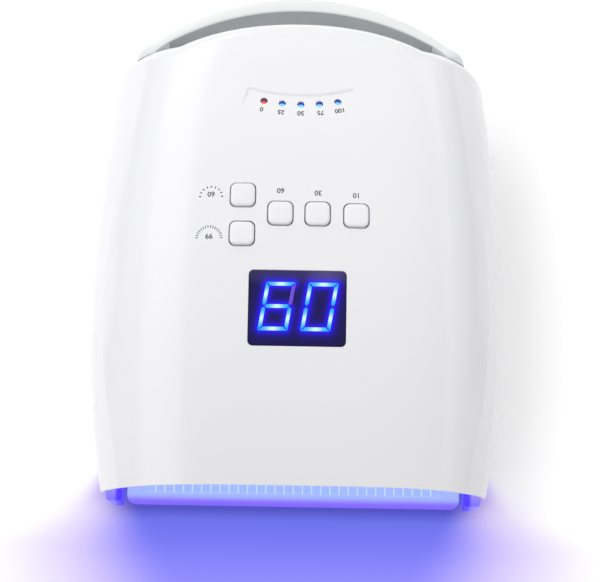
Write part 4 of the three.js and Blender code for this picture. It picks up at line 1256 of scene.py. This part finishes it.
def tunnel_point(a, y, drop):
    """A point of the liner's outer skin: a is 0 on the centre line and 1 or -1 at the bottom edge."""
    up_share = 1 - np.abs(a)
    ux, uz = on_arch(TUNNEL_ARCH, np.abs(a))
    skirt = up_share < MOUTH_SKIRT
    skirt_z = BOTTOM + (BELT_Z - BOTTOM) * up_share / MOUTH_SKIRT
    mx, mz = on_arch(MOUTH_ARCH, np.minimum(np.abs(a) / (1 - MOUTH_SKIRT), 1))

    def section(y):
        wide, high = half_width(y) - WALL - GAP, crown(y) - WALL - GAP
        mouth_x = np.where(skirt, wide - taper(skirt_z), mx * wide)
        mouth_z = np.where(skirt, skirt_z, BELT_Z + mz * (high - BELT_Z))
        flare = 1 - smoothstep(FRONT_Y + 4, TUNNEL_START, y)
        x = ux * (TUNNEL_HALF - drop) * (1 - flare) + mouth_x * flare
        z = (BOTTOM + uz * (TUNNEL_TOP - drop - BOTTOM)) * (1 - flare) + mouth_z * flare
        return np.sign(a) * x, z

    x, z = section(y)
    y = y + rim_setback(z, y)
    x, z = section(y)
    return np.stack([x, y, z], -1)


def tunnel_wall(share):
    """A point of the outer wall at a share of the way up, and its outward normal, in (x, z)."""
    def at(v):
        return np.array([TUNNEL_HALF * (1 - v ** 2.6) ** (1 / 3), BOTTOM + v * (TUNNEL_TOP - BOTTOM)])
    if share == 1:
        return np.array([0, TUNNEL_TOP]), np.array([0, 1])
    step = unit(at(share + 0.002) - at(share - 0.002))
    return at(share), np.array([step[1], -step[0]])


def led_rows():
    rows = []
    for share in LED_SHARES:
        point, normal = tunnel_wall(share)
        for side in ((1,) if share == 1 else (-1, 1)):
            rows.append((point * (side, 1), normal * (side, 1)))
    return rows


def led_frame(row, y):
    """The matrix that stands a turned piece on a row's wall, its own Z pointing out through the wall."""
    point, normal = row
    turn = Matrix(((normal[1], 0, normal[0]), (0, 1, 0), (-normal[0], 0, normal[1]))).to_4x4()
    return Matrix.Translation((point[0], y, point[1])) @ turn


def grid_triangles(rows, columns):
    """Triangles over a lattice of rows of points; they face up when rows run back and columns run right."""
    k = np.arange((rows - 1) * columns).reshape(rows - 1, columns)[:, :-1].ravel()
    return np.concatenate([np.stack([k, k + 1, k + columns + 1], 1), np.stack([k, k + columns + 1, k + columns], 1)])


def inner_reflector():
    a = np.linspace(-1, 1, 121)
    start = TUNNEL_REAR - TUNNEL_RADIUS
    turn = np.radians(np.linspace(0, 90, 8))[1:]
    stations = [(y, 0) for y in np.concatenate([np.linspace(FRONT_Y + 1.9, TUNNEL_START, 18), [-60, -25, 10, 40, start]])]
    stations += [(start + TUNNEL_RADIUS * math.sin(t), TUNNEL_RADIUS * (1 - math.cos(t))) for t in turn]
    rows = [tunnel_point(a, np.full(len(a), y), drop) for y, drop in stations]
    vertices = np.concatenate(rows)
    faces = grid_triangles(len(rows), len(a))
    boundary = rows[-1][:, [0, 2]]
    loop = np.concatenate([boundary, [(x, BOTTOM) for x in np.linspace(boundary[-1, 0], boundary[0, 0], 30)[1:-1]]])
    xs, zs = np.meshgrid(np.arange(-80, 81, 8), np.arange(16, 60, 8))
    grid = np.stack([xs.ravel(), zs.ravel()], 1)
    grid = grid[inside(grid, loop) & away_from(grid, loop, 3)]
    places, rear_faces = triangulate(grid, [(loop, True)], [])
    rear_faces = rear_faces[inside(places[rear_faces].mean(axis=1), loop)]
    rear = np.column_stack([places[:, 0], np.full(len(places), TUNNEL_REAR), places[:, 1]])
    vertices = np.concatenate([vertices, rear])
    faces = np.concatenate([faces, rear_faces[:, ::-1] + len(vertices) - len(rear)])
    vertices, faces = weld(vertices, faces)
    liner = thicken("tunnel_liner", vertices, faces, TUNNEL_WALL, lambda p: np.full(len(p), 0.3),
                    MATERIALS["reflector_white"])
    holes = []
    for row in led_rows():
        for y in LED_YS:
            hole = turned("hole", [(LED_RADIUS + 0.6, -4), (LED_RADIUS + 0.6, 4)], MATERIALS["steel"], 24)
            holes.append(move(hole, led_frame(row, y)))
    across, along = SENSOR["half"] + GAP, SENSOR["depth"] + GAP
    holes.append(block("hole", (-across, SENSOR["y"] - along, 50), (across, SENSOR["y"] + along, 80),
                       MATERIALS["steel"]))
    combine(liner, "DIFFERENCE", gather(*holes))
    crisp(liner, 32)
    stands_for(liner, "inner_reflector")


def led_board(index, row):
    """A strip outside the wall with a row of round-topped emitters that look through it."""
    half, ends = 7, (LED_YS[0] - 7, LED_YS[-1] + 7)
    strip = block("led_strip", (-half, ends[0], GAP), (half, ends[1], 1.9), MATERIALS["uv_lens"])
    move(strip, led_frame(row, 0))
    tip = -TUNNEL_WALL - 1.7
    profile = [(0, tip)]
    for degrees in np.linspace(12, 90, 8):
        t = math.radians(degrees)
        profile.append((LED_RADIUS * math.sin(t), tip + 2 * (1 - math.cos(t))))
    profile += [(LED_RADIUS, 1), (0, 1)]
    for y in LED_YS:
        combine(strip, "UNION", move(turned("dome", profile, MATERIALS["uv_lens"], 28), led_frame(row, y)))
    strip.name = f"led_strip_{index}"
    crisp(strip, 35)
    point, normal = row
    # The domes glow as lamps; the strip round them gets a dimmer painted violet glow.
    places = np.array([v.co for v in strip.data.vertices]) / MM
    inward = -((places[:, 0] - point[0]) * normal[0] + (places[:, 2] - point[1]) * normal[1])
    glow = smoothstep(-0.5, 1.5, inward)[:, None]
    paint(strip, "light", np.array([0.05, 0.03, 0.2]) * (1 - glow) + np.array([0.42, 0.3, 1.0]) * glow)
    stands_for(strip, f"led_board_{index}")


# ---------------------------------------------------------------- base frame and feet

FRAME_LOW, FRAME_HIGH = span("base_frame")
PAW_FRONT = FRAME_LOW[1]
SLOT = {"half": 85, "rear": 67.5}
FEET = {"front_left": (-89.5, -108), "front_right": (89.5, -108), "rear_left": (-80, 86), "rear_right": (80, 86)}
SCREWS = [middle(f"case_screw_{i}")[:2] for i in range(1, 7)]


def frame_outline(z, inset):
    """The frame's plan: the hood's outline, two paws in front and the tray's slot between them."""
    width = lambda y: half_width(y) - taper(z) - inset
    front, radius, nick = PAW_FRONT + inset, 1.5 - inset, 1.0
    start = front + radius
    slot, slot_rear = SLOT["half"] + inset, SLOT["rear"] + inset
    right = []
    for t in np.radians(np.linspace(180, 265, 6)):
        right.append((slot + nick + nick * math.cos(t), front + nick + nick * math.sin(t)))
    for t in np.radians(np.linspace(270, 360, 10)[:-1]):
        right.append((width(start) - radius + radius * math.cos(t), start + radius * math.sin(t)))
    right += [(width(y), y) for y in np.linspace(start, REAR_START, 40)]
    for t in np.radians(np.linspace(0, 90, 12)[1:]):
        right.append((width(REAR_START) - REAR_RADIUS * (1 - math.cos(t)),
                      REAR_START + (REAR_RADIUS - taper(z) - inset) * math.sin(t)))
    left = [(-x, y) for x, y in right[::-1]]
    return np.array(right + left + [(-slot, slot_rear), (slot, slot_rear)], float)


def foot_outline(place, out):
    size = [6.4 + 2 * out, 18 + 2 * out]
    width, depth = size[::-1] if place[1] > 0 else size
    return rounded_rectangle(width, depth, 3.1 + out, place, 8)


def paw_groove(side, inset):
    """A fine groove round a paw, a set distance inside its outer edge."""
    z = FRAME_HIGH[2]
    width = lambda y: half_width(y) - taper(z) - inset
    radius = max(1.5 - inset, 1.0)
    front = PAW_FRONT + inset
    path = [(SLOT["half"] + 2.4, front)]
    for t in np.radians(np.linspace(270, 360, 8)):
        path.append((width(front + radius) - radius + radius * math.cos(t), front + radius + radius * math.sin(t)))
    path += [(width(y), y) for y in np.linspace(front + radius, -100, 8)[1:]]
    path = np.array(path) * (side, 1)
    along = unit(np.gradient(path, axis=0))
    across = np.stack([-along[:, 1], along[:, 0]], 1) * 0.2
    rings = []
    for place, step in zip(path, across):
        rings.append([(*(place - step), z - 0.45), (*(place + step), z - 0.45), (*(place + step), z + 1),
                      (*(place - step), z + 1)])
    vertices, faces = skin(rings)
    return make_object("groove", vertices, [face[::-1] for face in faces], MATERIALS["frame_white"])


def base_frame():
    low, high, lower_round, upper_round = FRAME_LOW[2], FRAME_HIGH[2], 0.3, 0.5
    levels = []
    for t in np.radians(np.linspace(0, 90, 5)):
        z = low + lower_round * (1 - math.cos(t))
        levels.append((frame_outline(z, lower_round * (1 - math.sin(t))), z))
    for z in np.linspace(low + 2, high - 2, 4):
        levels.append((frame_outline(z, 0), z))
    for t in np.radians(np.linspace(0, 90, 5)):
        z = high - upper_round * (1 - math.sin(t))
        levels.append((frame_outline(z, upper_round * (1 - math.cos(t))), z))
    finish = MATERIALS["frame_white"]
    frame_piece = stack("lower_frame", levels, finish)
    for side in (-1, 1):
        x0, x1 = sorted((side * 80.8, side * (SLOT["half"] + 1)))
        combine(frame_piece, "UNION", block("ledge", (x0, -112, low + 0.03), (x1, SLOT["rear"] + 1, 4.2), finish))
    tools = [block("pocket", (-66, 72, 4.6), (66, 91, 20), finish)]
    for side in (-1, 1):
        tools.append(block("pocket", (side * 60 - 5.3, 60, 2.9), (side * 60 + 5.3, 70.6, 6.5), finish))
    for x, y in SCREWS:
        hole = turned("hole", [(3.4, -1), (3.4, 7.5), (1.75, 7.5), (1.75, 20)], finish, 28)
        tools.append(move(hole, Matrix.Translation((x, y, 0))))
    recesses = []
    for place in FEET.values():
        recesses.append(stack("recess", [(foot_outline(place, GAP), -1), (foot_outline(place, GAP), 3.3)], finish))
    combine(frame_piece, "DIFFERENCE", gather(*tools), gather(*recesses))
    for side in (-1, 1):
        for inset in (2.4, 5.6):
            combine(frame_piece, "DIFFERENCE", paw_groove(side, inset))
    crisp(frame_piece, 32)
    stands_for(frame_piece, "base_frame")


def feet_and_screws():
    for corner, place in FEET.items():
        outline = lambda inset, place=place: foot_outline(place, -inset)
        foot = stack(f"foot_pad_{corner}", rounded_levels(outline, 0, 3, 0.7, 0.2), MATERIALS["rubber"])
        crisp(foot, 35)
        stands_for(foot, f"rubber_foot_{corner}")
    for i, (x, y) in enumerate(SCREWS, 1):
        profile = [(0, -2), (1.3, -1.97), (2.2, -1.75), (2.7, -1.2), (2.9, -0.5), (2.85, -0.1), (2.75, 0), (1.35, 0),
                   (1.35, 17.5), (0.1, 19)]
        head = turned(f"frame_screw_{i}", profile, MATERIALS["steel"], 36)
        cross = block("slot", (-1.5, -0.3, -3), (1.5, 0.3, -1), MATERIALS["steel"])
        other = block("slot", (-0.3, -1.5, -3), (0.3, 1.5, -1), MATERIALS["steel"])
        combine(head, "DIFFERENCE", cross, other)
        crisp(head, 35)
        move(head, Matrix.Translation((x, y, 7.2)))
        stands_for(head, f"case_screw_{i}")


# ---------------------------------------------------------------- base tray

TRAY_LOW, TRAY_HIGH = span("base_tray")
LIP = [(1.0, 2.0), (1.12, 1.5), (1.5, 0.95), (2.1, 0.45), (2.9, 0.14), (4.0, 0.0), (5.2, 0.02), (6.0, 0.16),
       (6.5, 0.4), (6.85, 0.75), (7.0, 1.25)]


def tray_outline(inset):
    centre = (TRAY_LOW + TRAY_HIGH)[:2] / 2
    size = (TRAY_HIGH - TRAY_LOW)[:2] - 2 * inset
    return rounded_rectangle(*size, 4.6 - inset, centre, 12)


def base_tray():
    finish = MATERIALS["tray_white"]
    tray = stack("hand_tray", [(tray_outline(inset), z) for z, inset in LIP], finish)
    tools = [block("under", (-75, -113, 0), (75, -32, 4.8), finish), block("under", (-75, -30, 0), (75, 58, 4.8), finish)]
    for side in (-1, 1):
        x0, x1 = sorted((side * 80.4, side * 90))
        tools.append(block("under", (x0, -113.5, 0), (x1, 80, 4.5), finish))
        tools.append(block("under", (side * 60 - 5.3, 62.7, 1.9), (side * 60 + 5.3, 80, 5.5), finish))
    combine(tray, "DIFFERENCE", gather(*tools))
    crisp(tray, 32)
    stands_for(tray, "base_tray")


def tray_mirror():
    """The reflecting plate; its rounded ribs run from front to back."""
    low, high = span("tray_mirror")
    plate, half = high[2] - 0.5, high[0]
    section = [(-half, low[2]), (-half, plate - 0.15), (-half + 0.15, plate)]
    for i in range(-15, 16):
        for t in np.radians(np.linspace(180, 0, 7)):
            section.append((4.6 * i + 0.5 * math.cos(t), plate + 0.5 * math.sin(t)))
    section += [(half - 0.15, plate), (half, plate - 0.15), (half, low[2])]
    section = np.array(section)
    rings = [np.column_stack([section[:, 0], np.full(len(section), y), section[:, 1]]) for y in (low[1], high[1])]
    piece = make_object("ribbed_plate", *skin(rings), MATERIALS["mirror_plate"])
    crisp(piece, 40)
    stands_for(piece, "tray_mirror")


# ---------------------------------------------------------------- rear panel, inlet and switch

JACK_X, ROCKER_X, REAR_Z = -15, 12, 26
ROCKER_PIVOT_Y = 94


def rear_panel():
    finish = MATERIALS["handle_white"]
    low, high = span("rear_panel")
    flange = lambda inset: rounded_rectangle(64 - 2 * inset, 21.2 - 2 * inset, 1.2, (0, 26), 5)
    plate = lambda inset: rounded_rectangle(60 - 2 * inset, 17.2 - 2 * inset, 1.0, (0, 26), 5)
    levels = [(flange(0.3), low[1]), (flange(0), low[1] + 0.3), (flange(0), 92.5), (plate(0), 92.5),
              (plate(0), high[1] - 0.35), (plate(0.1), high[1] - 0.1), (plate(0.35), high[1])]
    panel = stack_back("inlet_panel", levels, finish)
    rocker_hole = rounded_rectangle(19.6, 13.6, 0.6, (ROCKER_X, REAR_Z), 3)
    jack_hole = circle(4.3, (JACK_X, REAR_Z), 40)
    combine(panel, "DIFFERENCE", stack_back("hole", [(rocker_hole, 85), (rocker_hole, 99)], finish),
            stack_back("hole", [(jack_hole, 85), (jack_hole, 99)], finish))
    crisp(panel, 32)
    stands_for(panel, "rear_panel")


def power_inlet():
    finish = MATERIALS["black_plastic"]
    low, high = span("dc_jack")
    body = rounded_rectangle(9, 11, 0.6, (JACK_X, REAR_Z), 3)
    jack = stack_back("inlet", [(body, low[1]), (body, 90.3)], finish)
    nose = [(4, 88.3), (4, high[1] - 0.3), (3.7, high[1])]
    combine(jack, "UNION", stack_back("nose", [(circle(r, (JACK_X, REAR_Z), 48), y) for r, y in nose], finish))
    bore = [(2.9, 81.3), (2.9, high[1] - 0.3), (3.3, high[1] + 0.1), (3.3, 99)]
    combine(jack, "DIFFERENCE", stack_back("bore", [(circle(r, (JACK_X, REAR_Z), 48), y) for r, y in bore], finish))
    pin = [(1, 80.3), (1, 92.8), (0.6, 93.2)]
    combine(jack, "UNION", stack_back("pin", [(circle(r, (JACK_X, REAR_Z), 24), y) for r, y in pin], finish))
    crisp(jack, 35)
    stands_for(jack, "dc_jack")


def power_switch():
    finish = MATERIALS["black_plastic"]
    low, high = span("power_switch_frame")
    centre = (ROCKER_X, REAR_Z)
    bezel = high[1] - 1.8
    rim = lambda inset: rounded_rectangle(22 - 2 * inset, 16 - 2 * inset, 1.4 - inset, centre, 5)
    body = rounded_rectangle(19, 13, 0.5, centre, 3)
    levels = [(body, low[1]), (body, bezel), (rim(0), bezel), (rim(0), high[1] - 0.6), (rim(0.18), high[1] - 0.18),
              (rim(0.6), high[1])]
    frame_piece = stack_back("switch_bezel", levels, finish)
    pocket = rounded_rectangle(16.6, 10.8, 0.5, centre, 4)
    combine(frame_piece, "DIFFERENCE", stack_back("pocket", [(pocket, 86.5), (pocket, 99)], finish))
    pivot = turned("pivot", [(1.2, REAR_Z - 6), (1.2, REAR_Z + 6)], finish, 24)
    combine(frame_piece, "DIFFERENCE", move(pivot, Matrix.Translation((ROCKER_X, ROCKER_PIVOT_Y, 0))))
    crisp(frame_piece, 32)
    stands_for(frame_piece, "power_switch_frame")
    vee = np.array([(7, 4.5), (0, 3), (-7, 4.5), (-7, 0.8), (-3, -2.6), (3, -2.6), (7, 0.8)], float)
    rocker = stack("rocker_cap", [(vee, -5), (vee, 5)], finish)
    soften(rocker, 0.35, 20, 3)
    combine(rocker, "UNION", turned("pin", [(0.9, -5.8), (0.9, 5.8)], finish, 24))
    crisp(rocker, 32)
    move(rocker, Matrix.Translation((ROCKER_X, ROCKER_PIVOT_Y, REAR_Z)) @ Matrix.Rotation(math.radians(-12), 4, "Z"))
    stands_for(rocker, "power_rocker")


# ---------------------------------------------------------------- build everything

top_shell()
display()
for key in BUTTONS:
    key_cap(f"button_{key}", KEY_PLACES[BUTTONS.index(key)])
for lamp in range(1, 6):
    gauge_lamp(f"gauge_lamp_{lamp}", red=lamp == 1)
printed_marks()
carry_handle()
inner_reflector()
for number, led_row in enumerate(led_rows(), 1):
    led_board(number, led_row)
base_frame()
feet_and_screws()
base_tray()
tray_mirror()
rear_panel()
power_inlet()
power_switch()

REPLACED = {"top_shell", "display_window", "carry_handle", "handle_inner_cover", "inner_reflector", "base_frame",
            "base_tray", "tray_mirror", "rear_panel", "dc_jack", "power_switch_frame", "power_rocker"}
REPLACED_FAMILIES = ("button_", "gauge_lamp_", "led_board_", "rubber_foot_", "case_screw_")

for node, piece in frame["nodes"].items():
    if node in REPLACED or node.startswith(REPLACED_FAMILIES):
        continue
    finish_name = FINISH_OF_SLOT.get(SLOT_OF[node], SLOT_OF[node])
    piece.data.materials.clear()
    piece.data.materials.append(MATERIALS[finish_name])
    rounding = piece.modifiers.new("rounding", "BEVEL")
    rounding.limit_method = "ANGLE"
    rounding.angle_limit = math.radians(50)
    rounding.width = 0.12 * MM
    rounding.segments = 2

# ---------------------------------------------------------------- floor, world, lights and camera


def ramp(nodes, value, stops):
    """Blends through (position, colour) stops."""
    node = nodes.add("ShaderNodeValToRGB")
    elements = node.color_ramp.elements
    while len(elements) < len(stops):
        elements.new(0.5)
    for element, (position, colour) in zip(elements, stops):
        element.position = position
        element.color = (*colour, 1)
    nodes.link(value, node.inputs[0])
    return node.outputs[0]


GLOW = {"start": 118, "end": 335, "inner": (79, 0.68), "outer": (134, 182)}


def floor_material():
    """A pale, plain floor; in front of the hand opening it carries a painted fan of violet light: an emission that
    stands in for the lamp's light on the floor.
    """
    material = bpy.data.materials.new("floor")
    material.use_nodes = True
    nodes = Nodes(material.node_tree)
    shader = material.node_tree.nodes["Principled BSDF"]
    tone = nodes.mix(nodes.noise(180, 2), (0.93, 0.93, 0.93), (0.97, 0.97, 0.97))
    nodes.link(tone, shader.inputs["Base Color"])
    shader.inputs["Roughness"].default_value = 0.6
    shader.inputs["Specular IOR Level"].default_value = 0.1
    shader.inputs["Emission Color"].default_value = (1, 1, 1, 1)
    shader.inputs["Emission Strength"].default_value = 0.1
    place = nodes.add("ShaderNodeSeparateXYZ")
    nodes.link(nodes.add("ShaderNodeTexCoord").outputs["Object"], place.inputs[0])
    ahead = nodes.math("SUBTRACT", nodes.math("MULTIPLY", place.outputs["Y"], -1 / MM), GLOW["start"])
    forward = nodes.math("MAXIMUM", ahead, 0.0)
    beside = nodes.math("MULTIPLY", nodes.math("ABSOLUTE", place.outputs["X"]), 1 / MM)
    inner = nodes.math("SUBTRACT", GLOW["inner"][0], nodes.math("MULTIPLY", forward, GLOW["inner"][1]))
    outer = nodes.span(ahead, *GLOW["outer"], 6.0, 30.0)
    share = nodes.math("DIVIDE", nodes.math("SUBTRACT", beside, inner), nodes.math("SUBTRACT", outer, inner), clamp=True)
    across = nodes.span(share, 1.0, 0.0)
    core = nodes.span(share, 1.0, 0.0, 0.05, 0.5)
    along = nodes.span(ahead, 1.0, 0.0, 60.0, GLOW["end"] - GLOW["start"])
    begin = nodes.span(nodes.math("SUBTRACT", ahead, nodes.span(beside, -26.0, 0.0, 82.0, 112.0)), 0.0, 1.0, -8.0, 12.0)
    share = nodes.math("MULTIPLY", nodes.math("MULTIPLY", across, along), begin)
    distance = nodes.math("DIVIDE", ahead, 100.0, clamp=True)
    violet = ramp(nodes, distance, [(0.06, (0.09, 0.09, 0.55)), (0.12, (0.155, 0.175, 0.84)), (0.2, (0.19, 0.19, 0.91)),
                                    (0.36, (0.26, 0.25, 0.98)), (0.5, (0.31, 0.29, 1.0)), (1.0, (0.5, 0.45, 1.0))])
    # Painted light: the violet fan is an emission mixed over the floor's own shader.
    light = nodes.add("ShaderNodeEmission")
    nodes.link(nodes.mix(core, (0.56, 0.42, 0.90), violet), light.inputs["Color"])
    blend = nodes.add("ShaderNodeMixShader")
    nodes.link(share, blend.inputs[0])
    nodes.link(shader.outputs[0], blend.inputs[1])
    nodes.link(light.outputs[0], blend.inputs[2])
    output = next(n for n in material.node_tree.nodes if n.type == "OUTPUT_MATERIAL")
    nodes.link(blend.outputs[0], output.inputs[0])
    return material


FLOOR_REACH = 20000
floor = make_object("floor", [(x * FLOOR_REACH, y * FLOOR_REACH, 0) for x, y in ((-1, -1), (1, -1), (1, 1), (-1, 1))],
                    [(0, 1, 2, 3)], floor_material())


SKY = {"base": 0.80, "along": 0.50, "left": 1.4, "right": 0.6, "horizon": 0.25}


def studio_world():
    """Soft light from all round, with a long bright panel overhead on the left and a dimmer one low on the right."""
    world = bpy.data.worlds.new("studio")
    bpy.context.scene.world = world
    world.use_nodes = True
    nodes = Nodes(world.node_tree)
    way = nodes.add("ShaderNodeSeparateXYZ")
    nodes.link(nodes.add("ShaderNodeTexCoord").outputs["Generated"], way.inputs[0])
    x, y, z = way.outputs
    height = nodes.math("MAXIMUM", z, 0.02)
    lean_x = nodes.math("DIVIDE", x, height)
    base = nodes.math("ADD", nodes.math("MULTIPLY", y, SKY["along"]), SKY["base"])
    base = nodes.math("MULTIPLY", base, nodes.span(z, SKY["horizon"], 1.0, 0.0, 0.45))
    strength = base
    for side, near, far in (("left", (-0.30, -0.46), (-0.9, -1.6)), ("right", (0.95, 1.1), (1.4, 1.8))):
        edges = nodes.math("MULTIPLY", nodes.span(lean_x, 0.0, 1.0, *near), nodes.span(lean_x, 1.0, 0.0, *far))
        panel = nodes.math("MULTIPLY", edges, nodes.span(z, 0.0, 1.0, 0.1, 0.3))
        strength = nodes.math("ADD", strength, nodes.math("MULTIPLY", panel, SKY[side]))
    background = next(n for n in world.node_tree.nodes if n.type == "BACKGROUND")
    background.inputs["Color"].default_value = (1.0, 1.0, 1.005, 1)
    nodes.link(strength, background.inputs["Strength"])


studio_world()


def area_light(name, place, size, power, colour, target=None):
    light = bpy.data.lights.new(name, "AREA")
    light.shape = "RECTANGLE"
    light.size, light.size_y = (side * MM for side in size)
    light.energy = power
    light.color = colour
    lamp_object = bpy.data.objects.new(name, light)
    bpy.context.scene.collection.objects.link(lamp_object)
    place = Vector(place) * MM
    aim = (Vector(target) * MM if target else place - Vector((0, 0, 1))) - place
    lamp_object.matrix_world = Matrix.Translation(place) @ aim.to_track_quat("-Z", "Y").to_matrix().to_4x4()
    lamp_object.visible_camera = False
    return lamp_object


area_light("tunnel_light", (0, -35, 57), (90, 120), 0.35, VIOLET)

camera_data = bpy.data.cameras.new("camera")
camera_data.lens, camera_data.sensor_width = 102.5, 36
camera_data.clip_start, camera_data.clip_end = 0.05, 20
camera = bpy.data.objects.new("camera", camera_data)
bpy.context.scene.collection.objects.link(camera)
elevation, roll = math.radians(70), math.radians(1)
back_way = Vector((0, -math.cos(elevation), math.sin(elevation)))
right_way, up_way = Vector((1, 0, 0)), Vector((0, math.sin(elevation), math.cos(elevation)))
right_way, up_way = (math.cos(roll) * right_way + math.sin(roll) * up_way,
                     math.cos(roll) * up_way - math.sin(roll) * right_way)
turn = Matrix((right_way, up_way, back_way)).transposed().to_4x4()
camera.matrix_world = Matrix.Translation(Vector((0.00165, -0.0246, 0.050)) + 0.85 * back_way) @ turn
bpy.context.scene.camera = camera
bpy.context.scene.view_settings.view_transform = "Standard"
bpy.context.scene.cycles.use_denoising = True
